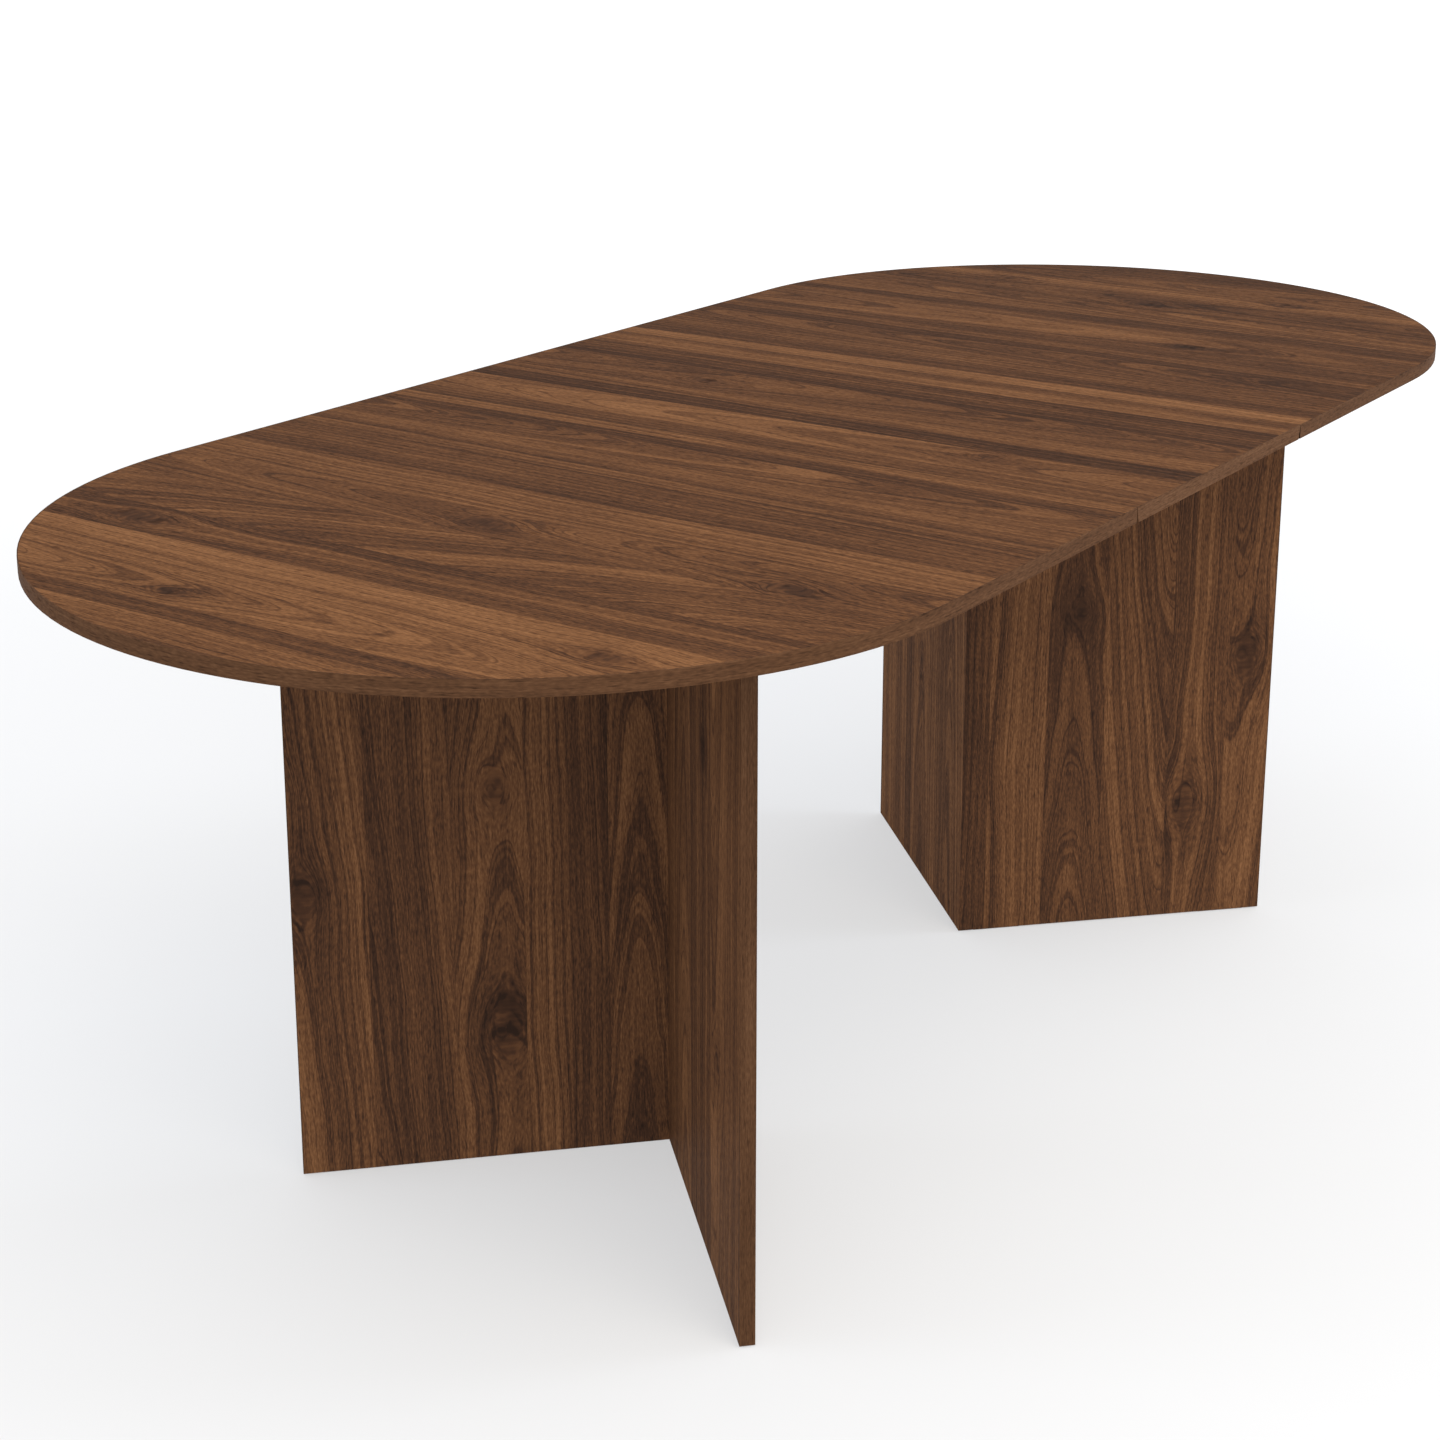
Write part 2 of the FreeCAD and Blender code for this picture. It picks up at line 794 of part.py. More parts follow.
def leaf_saddle():
    """A nylon saddle under the leaf, with a screw recess and a lip down each side of the rail."""
    lip_in = "rail_width / 2 + saddle_clearance"
    lip_out = f"{lip_in} + saddle_lip_wall"
    lip_low = f"-({SEAT_DEPTH} + saddle_lip_depth)"
    seat = f"-{SEAT_DEPTH}"
    body = new_body("saddle_blank")
    section = polygon_sketch(body, "YZ_Plane", "saddle_profile", [
        (lip_out, "0"),
        (lip_out, lip_low),
        (lip_in, lip_low),
        (lip_in, seat),
        (f"-({lip_in})", seat),
        (f"-({lip_in})", lip_low),
        (f"-({lip_out})", lip_low),
        (f"-({lip_out})", "0"),
    ])
    pad(body, section, "saddle_length", symmetric=True)
    spot = Placement(Z_AXIS * (RAIL_TOP - UNDERSIDE), UPRIGHT)
    return cut("saddle_moulding", body, copies("saddle_drill", recess_drill, [spot]))


keep("leaf_saddles", copies("saddles", leaf_saddle(), saddle_places()))


# Hook latches

LATCH_LOW = f"({LATCH_TOP} + latch_thickness)"
HEAD_TOP = f"({LATCH_LOW} + latch_play)"


def hook_latch(name):
    """A flat steel hook that turns on its pivot at the origin and catches a stud along +X.

    Its slot opens to -Y, so it swings to +Y to let go. A tab bent down at its tip takes a finger.
    """
    body = new_body(name)
    tip = f"({LATCH_REACH} + latch_tip)"
    bar = polygon_sketch(body, "XZ_Plane", f"{name}_bar", [
        ("0", f"-{LATCH_LOW}"),
        (f"{tip} - latch_thickness", f"-{LATCH_LOW}"),
        (f"{tip} - latch_thickness", f"-({LATCH_LOW} + latch_tab_depth)"),
        (tip, f"-({LATCH_LOW} + latch_tab_depth)"),
        (tip, f"-{LATCH_TOP}"),
        ("0", f"-{LATCH_TOP}"),
    ])
    pad(body, bar, "latch_width", symmetric=True)
    heel = circle_sketch(body, "XY_Plane", f"{name}_heel", [("0", "0")], "latch_width")
    heel.setExpression("AttachmentOffset.Base.z", formula(f"-{LATCH_LOW}"))
    pad(body, heel, "latch_thickness")
    middle = f"({LATCH_REACH} - latch_slot_shift)"
    slot = polygon_sketch(body, "XY_Plane", f"{name}_slot", [
        (f"{middle} - latch_slot_radius", "-latch_width"),
        (f"{middle} + latch_slot_radius", "-latch_width"),
        (f"{middle} + latch_slot_radius", "latch_slot_depth"),
        (f"{middle} - latch_slot_radius", "latch_slot_depth"),
    ])
    pocket(body, slot)
    round_end = [(middle, "latch_slot_depth")]
    pocket(body, circle_sketch(body, "XY_Plane", f"{name}_round", round_end, "2 * latch_slot_radius"))
    bore = "pivot_diameter + 2 * fastener_clearance"
    pocket(body, circle_sketch(body, "XY_Plane", f"{name}_bore", [("0", "0")], bore))
    return body


pivot_screw = turned("pivot_screw", [
    ("0", f"-{HEAD_TOP}"),
    ("pivot_diameter / 2", f"-{HEAD_TOP}"),
    ("pivot_diameter / 2", "0"),
    ("thread_diameter / 2", "0"),
    ("thread_diameter / 2", "thread_depth"),
    ("0", "thread_depth"),
])
head_low = f"-({HEAD_TOP} + pivot_head_height)"
add_hexagon(pivot_screw, "pivot_head", "pivot_head_flats", head_low, "pivot_head_height")

spacer = turned("spacer", [
    ("pivot_diameter / 2 + fastener_clearance", "-spacer_height"),
    ("spacer_diameter / 2", "-spacer_height"),
    ("spacer_diameter / 2", "0"),
    ("pivot_diameter / 2 + fastener_clearance", "0"),
])

stud = turned("stud", [
    ("0", f"-({LATCH_LOW} + stud_reach)"),
    ("stud_diameter / 2", f"-({LATCH_LOW} + stud_reach)"),
    ("stud_diameter / 2", "0"),
    ("thread_diameter / 2", "0"),
    ("thread_diameter / 2", "thread_depth"),
    ("0", "thread_depth"),
])
add_hexagon(stud, "stud_collar", "stud_collar_flats", "-stud_collar_height", "stud_collar_height")

for half_name, half_side in SIDES.items():
    latch = keep(f"latch_{half_name}", hook_latch(f"latch_{half_name}"))
    latch.Placement = pivot_place(half_side)
    keep(f"latch_{half_name}_pivot", copies(f"pivot_{half_name}", pivot_screw, [pivot_place(half_side)]))
    keep(f"latch_{half_name}_spacer", copies(f"spacer_{half_name}", spacer, [pivot_place(half_side)]))
keep("leaf_studs", copies("studs", stud, [stud_place(side) for side in SIDES.values()]))


# Check everything, then write one file for each piece

doc.recompute()
for thing in doc.Objects:
    if "Invalid" in thing.State or "Error" in thing.State:
        raise RuntimeError(f"{thing.Label} did not build: {thing.State}")
for name, thing in pieces.items():
    if thing.Shape.isNull() or not thing.Shape.isValid() or not thing.Shape.Solids:
        raise RuntimeError(f"{name} has no valid solid")

os.makedirs("parts", exist_ok=True)
for name, thing in pieces.items():
    thing.Shape.exportStep(os.path.join("parts", f"{name}.step"))
    box = thing.Shape.BoundBox
    extent = f"{box.XLength:.2f} x {box.YLength:.2f} x {box.ZLength:.2f}"
    print(f"{name}: {len(thing.Shape.Solids)} solids, {extent}")
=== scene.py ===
"""Looks of the extending dining table: walnut boards and bands, slide hardware, screws and studio."""

from __future__ import annotations

import logging
import math
from dataclasses import dataclass
from enum import Enum
from typing import Mapping, Optional, Sequence, Union

import bpy
import numpy as np
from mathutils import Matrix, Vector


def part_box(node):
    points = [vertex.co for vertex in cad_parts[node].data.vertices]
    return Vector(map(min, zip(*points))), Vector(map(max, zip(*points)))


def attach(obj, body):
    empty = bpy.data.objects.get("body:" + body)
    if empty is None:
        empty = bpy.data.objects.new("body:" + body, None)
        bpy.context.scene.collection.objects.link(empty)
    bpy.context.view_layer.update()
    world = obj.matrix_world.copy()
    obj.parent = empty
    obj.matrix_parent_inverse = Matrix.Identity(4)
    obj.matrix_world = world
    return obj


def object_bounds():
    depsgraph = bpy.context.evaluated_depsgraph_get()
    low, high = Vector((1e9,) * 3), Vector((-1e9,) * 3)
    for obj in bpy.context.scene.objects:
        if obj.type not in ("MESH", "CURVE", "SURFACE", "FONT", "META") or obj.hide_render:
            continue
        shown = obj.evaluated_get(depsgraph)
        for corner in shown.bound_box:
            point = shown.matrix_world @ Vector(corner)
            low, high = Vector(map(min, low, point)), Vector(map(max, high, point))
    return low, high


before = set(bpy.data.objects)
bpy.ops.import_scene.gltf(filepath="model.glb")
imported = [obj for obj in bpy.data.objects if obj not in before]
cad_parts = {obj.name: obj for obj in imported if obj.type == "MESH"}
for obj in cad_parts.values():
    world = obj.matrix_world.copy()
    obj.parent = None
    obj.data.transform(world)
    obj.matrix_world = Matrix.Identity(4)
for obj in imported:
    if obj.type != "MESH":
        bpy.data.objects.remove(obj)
CAD_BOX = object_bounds()
END_RADIUS = CAD_BOX[1].y
STRAIGHT_HALF = CAD_BOX[1].x - END_RADIUS
JOINT_PLACE = (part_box("leaf_joint_bands")[1].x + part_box("top_right_joint_band")[0].x) / 2.0

LOG = logging.getLogger("dining_table")
DOWN = np.array([0.0, 0.0, -1.0])
WOOD_SPECULAR = 0.004
FLOAT = "NodeSocketFloat"
SURFACE = {"Colour": "NodeSocketColor", "Roughness": FLOAT, "Relief": FLOAT}

Socket = bpy.types.NodeSocket
Material = bpy.types.Material
Feed = Union[Socket, float, Sequence[float]]
Colour = tuple[float, float, float, float]
Stops = Sequence[tuple[float, Colour]]
Place = Mapping[str, Socket]


class Named(Enum):
    """Options that the nodes' names spell in small letters."""

    @property
    def word(self) -> str:
        """The option as the nodes' names spell it."""
        return self.name.lower()


class Side(Named):
    """The two halves of the table, by the sign of their place along its length."""

    LEFT = -1
    RIGHT = 1


class Row(Named):
    """The two long sides of the table, by the sign of their place across its width."""

    FRONT = -1
    BACK = 1


class Lay(Enum):
    """How the planks of a board lie."""

    ACROSS_TABLE = "grain across the table"
    UPRIGHT = "grain upright"


class BandRun(Enum):
    """The line that an edge band follows."""

    ROUND_END = "along the side and round the end"
    CROSSWISE = "straight across the table"
    LENGTHWISE = "straight along the table"
    UPRIGHT = "straight up a panel's end"


class Fitting(Enum):
    """What the fittings and hidden pieces are made of."""

    ZINC = "zinc-plated steel"
    TURNED = "turned steel"
    NYLON = "black nylon"
    FELT = "brown felt"
    BARE_WOOD = "bare wood"


class HeadShape(Enum):
    """The forms of screw head."""

    PAN = "domed head that stands on its seat"
    FLUSH = "cone head that sinks into its seat"


@dataclass(frozen=True)
class Grain:
    """One layer of streaks along the grain: how many there are per metre each way, and what they weigh."""

    across: float
    along: float
    weight: float
    detail: float = 2.0
    roughness: float = 0.5


class Wiring:
    """Adds nodes to one node tree and links them."""

    def __init__(self, tree: bpy.types.NodeTree) -> None:
        """Works on the tree that is given."""
        self.tree = tree

    def feed(self, socket: Socket, value: Feed) -> None:
        """Links a socket into an input, or sets the input to a constant.

        Args:
            socket: The input.
            value: Another node's output, or the constant.
        """
        if isinstance(value, Socket):
            self.tree.links.new(value, socket)
        else:
            socket.default_value = value

    def feed_all(self, node: bpy.types.Node, feeds: Mapping[str, Feed]) -> None:
        """Feeds several inputs of a node, by their names."""
        for name, value in feeds.items():
            self.feed(node.inputs[name], value)

    def add(
        self, kind: str, feeds: Optional[Mapping[str, Feed]] = None, **settings: object
    ) -> bpy.types.Node:
        """Adds a node.

        Args:
            kind: The node's type.
            feeds: What goes into its inputs, by name.
            **settings: The node's own properties.

        Returns:
            The new node.
        """
        node = self.tree.nodes.new(kind)
        for name, value in settings.items():
            setattr(node, name, value)
        self.feed_all(node, feeds or {})
        return node

    def math(self, operation: str, *values: Feed) -> Socket:
        """Adds a Math node.

        Args:
            operation: The operation's name.
            *values: Its operands in order.

        Returns:
            The result.
        """
        node = self.add("ShaderNodeMath", operation=operation)
        for socket, value in zip(node.inputs, values):
            self.feed(socket, value)
        return node.outputs[0]

    def times(self, first: Feed, second: Feed) -> Socket:
        """Multiplies two values."""
        return self.math("MULTIPLY", first, second)

    def minus(self, first: Feed, second: Feed) -> Socket:
        """Takes the second value from the first."""
        return self.math("SUBTRACT", first, second)

    def total(self, first: Feed, *others: Feed) -> Feed:
        """Adds values together.

        Args:
            first: The first value.
            *others: The rest.

        Returns:
            Their sum.
        """
        result = first
        for value in others:
            result = self.math("ADD", result, value)
        return result

    def squares(self, first: Socket, second: Socket) -> Socket:
        """Adds the squares of two values."""
        return self.math("ADD", self.times(first, first), self.times(second, second))

    def swing(self, value: Socket, reach: float) -> Socket:
        """Turns a value of 0 to 1 into one from minus half the reach to half the reach."""
        return self.times(self.minus(value, 0.5), reach)

    def soft_step(self, value: Socket, low: float, high: float) -> Socket:
        """Steps smoothly from nought at low to one at high, in whichever order they lie."""
        feeds = {"Value": value, "From Min": low, "From Max": high}
        return self.add("ShaderNodeMapRange", feeds, interpolation_type="SMOOTHSTEP").outputs["Result"]

    def point(self, x: Feed, y: Feed, z: Feed = 0.0) -> Socket:
        """Puts three values together as a vector."""
        return self.add("ShaderNodeCombineXYZ", {"X": x, "Y": y, "Z": z}).outputs["Vector"]

    def bump(self, height: Socket, strength: float, depth: float) -> Socket:
        """Turns a height into a normal. The depth is what one unit of height comes to, in metres."""
        feeds = {"Height": height, "Strength": strength, "Distance": depth}
        return self.add("ShaderNodeBump", feeds).outputs["Normal"]

    def noise(
        self, place: Socket, detail: float = 2.0, roughness: float = 0.5, line: bool = False
    ) -> Socket:
        """Adds a noise of unit size.

        Args:
            place: The vector to read it at, or the value where line is set.
            detail: The number of finer layers.
            roughness: The strength of the finer layers.
            line: Whether the noise changes along one value only.

        Returns:
            The noise, from 0 to 1.
        """
        feeds = {"Scale": 1.0, "Detail": detail, "Roughness": roughness, "W" if line else "Vector": place}
        dimensions = "1D" if line else "3D"
        return self.add("ShaderNodeTexNoise", feeds, noise_dimensions=dimensions).outputs["Fac"]

    def grain_noise(self, grain: Grain, across: Socket, along: Socket, start: Feed = 0.0) -> Socket:
        """Adds a noise that is stretched along the grain.

        Args:
            grain: Its sizes.
            across: The place across the grain.
            along: The place along the grain.
            start: The place in the noise from which it is read.

        Returns:
            The noise, from 0 to 1.
        """
        x = self.math("MULTIPLY_ADD", across, grain.across, start)
        y = self.math("MULTIPLY_ADD", along, grain.along, start)
        return self.noise(self.point(x, y, grain.across), grain.detail, grain.roughness)

    def grain(self, grain: Grain, across: Socket, along: Socket, start: Feed = 0.0) -> Socket:
        """Adds a noise along the grain that goes from minus half its weight to half its weight."""
        return self.swing(self.grain_noise(grain, across, along, start), grain.weight)

    def ramp(self, value: Socket, stops: Stops, stepped: bool = False) -> Socket:
        """Turns a value into a colour.

        Args:
            value: The value from 0 to 1.
            stops: The places of the colours, and the colours.
            stepped: Whether each colour holds until the next.

        Returns:
            The colour.
        """
        node = self.add("ShaderNodeValToRGB", {"Fac": value})
        node.color_ramp.interpolation = "CONSTANT" if stepped else "LINEAR"
        elements = node.color_ramp.elements
        while len(elements) < len(stops):
            elements.new(1.0)
        for element, (place, colour) in zip(elements, stops):
            element.position = place
            element.color = colour
        return node.outputs["Color"]


def new_group(
    name: str, inputs: Sequence[str], outputs: Mapping[str, str]
) -> tuple[Wiring, dict[str, Socket], dict[str, Socket]]:
    """Starts a node group whose inputs are all plain values.

    Args:
        name: The group's name.
        inputs: The names of its inputs.
        outputs: The names of its outputs, with each one's socket type.

    Returns:
        The wiring of the group, its input sockets by name, and its output sockets by name.
    """
    tree = bpy.data.node_groups.new(name, "ShaderNodeTree")
    for label in inputs:
        tree.interface.new_socket(label, in_out="INPUT", socket_type=FLOAT)
    for label, kind in outputs.items():
        tree.interface.new_socket(label, in_out="OUTPUT", socket_type=kind)
    wiring = Wiring(tree)
    entry = wiring.add("NodeGroupInput")
    leave = wiring.add("NodeGroupOutput")
    given = {label: entry.outputs[label] for label in inputs}
    result = {label: leave.inputs[label] for label in outputs}
    return wiring, given, result


@dataclass(frozen=True)
class Plank:
    """One plank of a board, by how it was cut from the log. Lengths are in metres.

    A plank over its pith shows arches, and one beside it shows straight lines. The arches point along the
    plank where the taper is above nought, and back where it is below.
    """

    width: float
    tone: float
    pith: float = 0.16
    taper: float = 0.02
    depth: float = 0.03


@dataclass(frozen=True)
class Knot:
    """One knot of a board, by its place from the board's first edge and along the grain, in metres."""

    across: float
    along: float
    radius: float = 0.014


@dataclass(frozen=True)
class Board:
    """One board: its planks in order from its first edge, and its knots."""

    planks: tuple[Plank, ...]
    knots: tuple[Knot, ...] = ()


LEFT_TOP = Board(
    planks=(
        Plank(0.050, 0.56),
        Plank(0.028, 0.37),
        Plank(0.072, 0.62, pith=0.005, taper=-0.06, depth=0.035),
        Plank(0.068, 0.66),
        Plank(0.072, 0.45, pith=-0.10),
        Plank(0.088, 0.52, pith=-0.05, taper=0.24),
        Plank(0.074, 0.50, pith=0.02, taper=0.07),
        Plank(0.070, 0.59),
        Plank(0.093, 0.45, pith=0.08),
        Plank(0.070, 0.55),
        Plank(0.060, 0.50, pith=0.02, taper=-0.06, depth=0.035),
        Plank(0.030, 0.36),
        Plank(0.025, 0.62),
    ),
    knots=(
        Knot(0.107, 0.103, 0.010),
        Knot(0.172, -0.297, 0.014),
        Knot(0.255, 0.290, 0.020),
        Knot(0.415, 0.014, 0.014),
        Knot(0.400, -0.320, 0.018),
    ),
)
LEAF = Board(
    planks=(
        Plank(0.035, 0.43),
        Plank(0.077, 0.61, pith=0.0, taper=0.06, depth=0.035),
        Plank(0.038, 0.31),
        Plank(0.030, 0.53),
        Plank(0.090, 0.50, pith=0.03, taper=-0.07),
        Plank(0.075, 0.38, pith=0.10),
        Plank(0.055, 0.58),
    ),
    knots=(Knot(0.225, 0.190, 0.014), Knot(0.090, -0.240, 0.010)),
)
RIGHT_TOP = Board(
    planks=(
        Plank(0.032, 0.66),
        Plank(0.033, 0.34),
        Plank(0.055, 0.50),
        Plank(0.070, 0.44, pith=0.02, taper=0.08),
        Plank(0.090, 0.41, pith=0.10),
        Plank(0.080, 0.53, pith=0.01, taper=-0.055, depth=0.035),
        Plank(0.040, 0.47),
        Plank(0.025, 0.34),
        Plank(0.075, 0.53, pith=0.03, taper=0.07),
        Plank(0.085, 0.42, pith=0.02, taper=0.06),
        Plank(0.065, 0.56),
        Plank(0.070, 0.50, pith=0.0, taper=0.055, depth=0.035),
        Plank(0.080, 0.37),
    ),
    knots=(
        Knot(0.310, -0.180, 0.014),
        Knot(0.540, -0.020, 0.018),
        Knot(0.630, -0.180, 0.016),
        Knot(0.610, 0.220, 0.014),
        Knot(0.150, -0.290, 0.012),
    ),
)
LEFT_BACK_PANEL = Board(
    planks=(
        Plank(0.076, 0.48, pith=0.006, taper=0.055, depth=0.040),
        Plank(0.040, 0.34),
        Plank(0.048, 0.52),
        Plank(0.073, 0.46, pith=-0.020, taper=0.05, depth=0.035),
        Plank(0.085, 0.40, pith=0.050, taper=0.05, depth=0.030),
        Plank(0.078, 0.49, pith=0.05, taper=0.06),
    ),
    knots=(Knot(0.183, 0.150, 0.021), Knot(0.192, 0.416, 0.012), Knot(0.388, 0.310, 0.016)),
)
LEFT_FRONT_PANEL = Board(
    planks=(
        Plank(0.060, 0.46),
        Plank(0.090, 0.49, pith=0.01, taper=0.055, depth=0.040),
        Plank(0.030, 0.35),
        Plank(0.075, 0.43, pith=0.10),
        Plank(0.075, 0.53, pith=-0.02, taper=-0.06, depth=0.035),
        Plank(0.070, 0.46),
    ),
    knots=(Knot(0.220, 0.520, 0.012), Knot(0.290, 0.230, 0.014)),
)
RIGHT_FRONT_PANEL = Board(
    planks=(
        Plank(0.032, 0.33),
        Plank(0.073, 0.52),
        Plank(0.076, 0.40, pith=0.0, taper=0.055, depth=0.040),
        Plank(0.086, 0.49, pith=0.045, taper=-0.10, depth=0.030),
        Plank(0.075, 0.46, pith=0.09),
        Plank(0.058, 0.51, pith=-0.02, taper=-0.06, depth=0.035),
    ),
    knots=(Knot(0.147, 0.416, 0.009), Knot(0.290, 0.154, 0.020), Knot(0.365, 0.346, 0.018)),
)
RIGHT_BACK_PANEL = Board(
    planks=(
        Plank(0.078, 0.52, pith=0.03, taper=0.06, depth=0.035),
        Plank(0.027, 0.36),
        Plank(0.055, 0.50),
        Plank(0.075, 0.46, pith=0.0, taper=0.05, depth=0.040),
        Plank(0.095, 0.44, pith=0.10),
        Plank(0.070, 0.53),
    ),
    knots=(Knot(0.200, 0.300, 0.014), Knot(0.040, 0.560, 0.012)),
)


@dataclass(frozen=True)
class KnotFigure:
    """Figure of one knot: one node group that is placed for each knot of a board.

    Reaches are in knot radii, and the rags of its dark edge are counted per metre.
    """

    name: str = "knot_figure"
    stretch: float = 1.7
    parting: float = 2.2
    core: float = 1.8
    heart_reach: float = 1.3
    heart_share: float = 0.55
    halo_reach: float = 3.4
    halo_share: float = 0.50
    ragged: float = 2.4
    rags_across: float = 90.0
    rags_along: float = 30.0

    def group(self) -> bpy.types.NodeTree:
        """Builds the group: how far the grain is moved aside, and how dark the knot is.

        The grain parts round the knot as a stream parts round a post. It moves aside by the place across
        from the knot times the parting, divided by the core plus the square of the distance in knot radii,
        which is stretched along the grain. The dark heart and its halo fall off with that distance, made
        ragged. All of it ends at the plank's edges.

        Returns:
            The group's node tree.
        """
        inputs = ("Across", "Along", "Knot Across", "Knot Along", "Knot Radius", "First Edge", "Last Edge")
        wiring, given, result = new_group(self.name, inputs, {"Sway": FLOAT, "Shade": FLOAT})
        on_plank = wiring.times(
            wiring.math("GREATER_THAN", given["Across"], given["First Edge"]),
            wiring.math("LESS_THAN", given["Across"], given["Last Edge"]),
        )
        aside = wiring.minus(given["Across"], given["Knot Across"])
        across = wiring.math("DIVIDE", aside, given["Knot Radius"])
        along = wiring.minus(given["Along"], given["Knot Along"])
        along = wiring.math("DIVIDE", wiring.math("DIVIDE", along, self.stretch), given["Knot Radius"])
        square = wiring.squares(across, along)
        sway = wiring.math("DIVIDE", wiring.times(aside, self.parting), wiring.total(square, self.core))
        rag_across = wiring.times(given["Across"], self.rags_across)
        rag_along = wiring.times(given["Along"], self.rags_along)
        rags = wiring.swing(wiring.noise(wiring.point(rag_across, rag_along)), self.ragged)
        distance = wiring.times(wiring.math("SQRT", square), wiring.total(rags, 1.0))
        heart = wiring.times(wiring.soft_step(distance, self.heart_reach, 0.0), self.heart_share)
        halo = wiring.times(wiring.soft_step(distance, self.halo_reach, 0.0), self.halo_share)
        wiring.feed(result["Sway"], wiring.times(sway, on_plank))
        wiring.feed(result["Shade"], wiring.times(wiring.total(heart, halo), on_plank))
        return wiring.tree


@dataclass(frozen=True)
class WoodFigure:
    """What the figures of boards and bands share: open pores, and a colour for each tone."""

    name: str
    roughness: float
    stops: Stops
    pore: Grain = Grain(560.0, 55.0, -0.16, detail=1.0)
    pore_edges: tuple[float, float] = (0.56, 0.68)
    pore_roughness: float = 0.16

    def pores(self, wiring: Wiring, across: Socket, along: Socket, start: Feed = 0.0) -> Socket:
        """Masks the open pores, slits along the grain: nought between them, and one inside them."""
        return wiring.soft_step(wiring.grain_noise(self.pore, across, along, start), *self.pore_edges)

    def give(self, wiring: Wiring, result: Place, tone: Socket, pores: Socket) -> None:
        """Feeds the group's outputs: the tone's colour, and pores that are duller and sink in.

        Args:
            wiring: The group's wiring.
            result: The group's outputs.
            tone: The tone from 0, darkest, to 1, lightest.
            pores: The mask of the open pores.
        """
        wiring.feed(result["Colour"], wiring.ramp(tone, self.stops))
        duller = wiring.math("MULTIPLY_ADD", pores, self.pore_roughness, self.roughness)
        wiring.feed(result["Roughness"], duller)
        wiring.feed(result["Relief"], wiring.times(pores, -1.0))


@dataclass(frozen=True)
class WalnutFigure(WoodFigure):
    """Figure of walnut cut from one log: one node group that all the boards share.

    The growth layers are cones about the pith, and the board's face cuts them. Lengths are in metres.
    """

    name: str = "walnut_figure"
    roughness: float = 0.56
    stops: Stops = (
        (0.00, (0.0230, 0.0130, 0.0092, 1.0)),
        (0.28, (0.0505, 0.0240, 0.0137, 1.0)),
        (0.50, (0.0960, 0.0430, 0.0200, 1.0)),
        (0.72, (0.1570, 0.0725, 0.0320, 1.0)),
        (1.00, (0.2540, 0.1240, 0.0560, 1.0)),
    )
    waver: Grain = Grain(3.0, 2.4, 0.024)
    ripple: Grain = Grain(16.0, 5.0, 0.012)
    layers_per_metre: float = 125.0
    layer_weight: float = 0.36
    layer_detail: float = 3.0
    layer_roughness: float = 0.62
    zones_per_metre: float = 34.0
    zone_weight: float = 0.40
    line_width: float = 0.045
    line_weight: float = -0.20
    streak: Grain = Grain(240.0, 5.0, 0.44, detail=3.0, roughness=0.7)
    fleck: Grain = Grain(640.0, 150.0, 0.55, detail=1.0)
    cloud: Grain = Grain(12.0, 7.0, 0.20)
    shade_weight: float = -0.25
    pick_spread: float = 43.0

    def group(self) -> bpy.types.NodeTree:
        """Builds the group, with the place on the board and the plank's cut as its inputs.

        Returns:
            The group's node tree.
        """
        inputs = ("Across", "Along", "Tone", "Pith Place", "Taper", "Depth", "Pick", "Sway", "Shade")
        wiring, given, result = new_group(self.name, inputs, SURFACE)
        start = wiring.times(given["Pick"], self.pick_spread)
        flow, radius = self.cut(wiring, given, start)
        pores = self.pores(wiring, flow, given["Along"], start)
        tone = wiring.total(
            given["Tone"],
            *self.layers(wiring, radius, start),
            wiring.grain(self.streak, flow, given["Along"], start),
            wiring.grain(self.fleck, flow, given["Along"], start),
            wiring.grain(self.cloud, flow, given["Along"], start),
            wiring.times(pores, self.pore.weight),
            wiring.times(given["Shade"], self.shade_weight),
        )
        self.give(wiring, result, tone, pores)
        return wiring.tree

    def cut(self, wiring: Wiring, given: Place, start: Socket) -> tuple[Socket, Socket]:
        """Finds where each point lies in the log.

        The distance from the pith is the root of the squares of the places beside it and above it. The
        growth layer is that distance plus the taper times the place along the plank, as on a cone.

        Args:
            wiring: The group's wiring.
            given: The group's inputs.
            start: The plank's own place in the noises.

        Returns:
            The place beside the pith, as the grain wavers, and the growth layer's radius.
        """
        beside = wiring.minus(given["Across"], given["Pith Place"])
        waver = wiring.grain(self.waver, given["Across"], given["Along"], start)
        flow = wiring.minus(wiring.total(beside, waver), given["Sway"])
        distance = wiring.math("SQRT", wiring.squares(flow, given["Depth"]))
        cone = wiring.math("MULTIPLY_ADD", given["Along"], given["Taper"], distance)
        ripple = wiring.grain(self.ripple, given["Across"], given["Along"], start)
        return flow, wiring.total(cone, ripple)

    def layers(self, wiring: Wiring, radius: Socket, start: Socket) -> tuple[Socket, Socket, Socket]:
        """Finds what the growth layers do to the tone: broad zones, single layers, and thin dark lines.

        A line lies where the noise of the layers crosses its middle.

        Args:
            wiring: The group's wiring.
            radius: The growth layer's radius.
            start: The plank's own place in the noises.

        Returns:
            The tone of the zones, of the layers and of the lines, each about nought.
        """
        zone = wiring.noise(wiring.math("MULTIPLY_ADD", radius, self.zones_per_metre, start), line=True)
        layer = wiring.math("MULTIPLY_ADD", radius, self.layers_per_metre, start)
        layer = wiring.noise(layer, self.layer_detail, self.layer_roughness, line=True)
        line = wiring.soft_step(wiring.math("ABSOLUTE", wiring.swing(layer, 1.0)), self.line_width, 0.0)
        return (
            wiring.swing(zone, self.zone_weight),
            wiring.swing(layer, self.layer_weight),
            wiring.times(line, self.line_weight),
        )


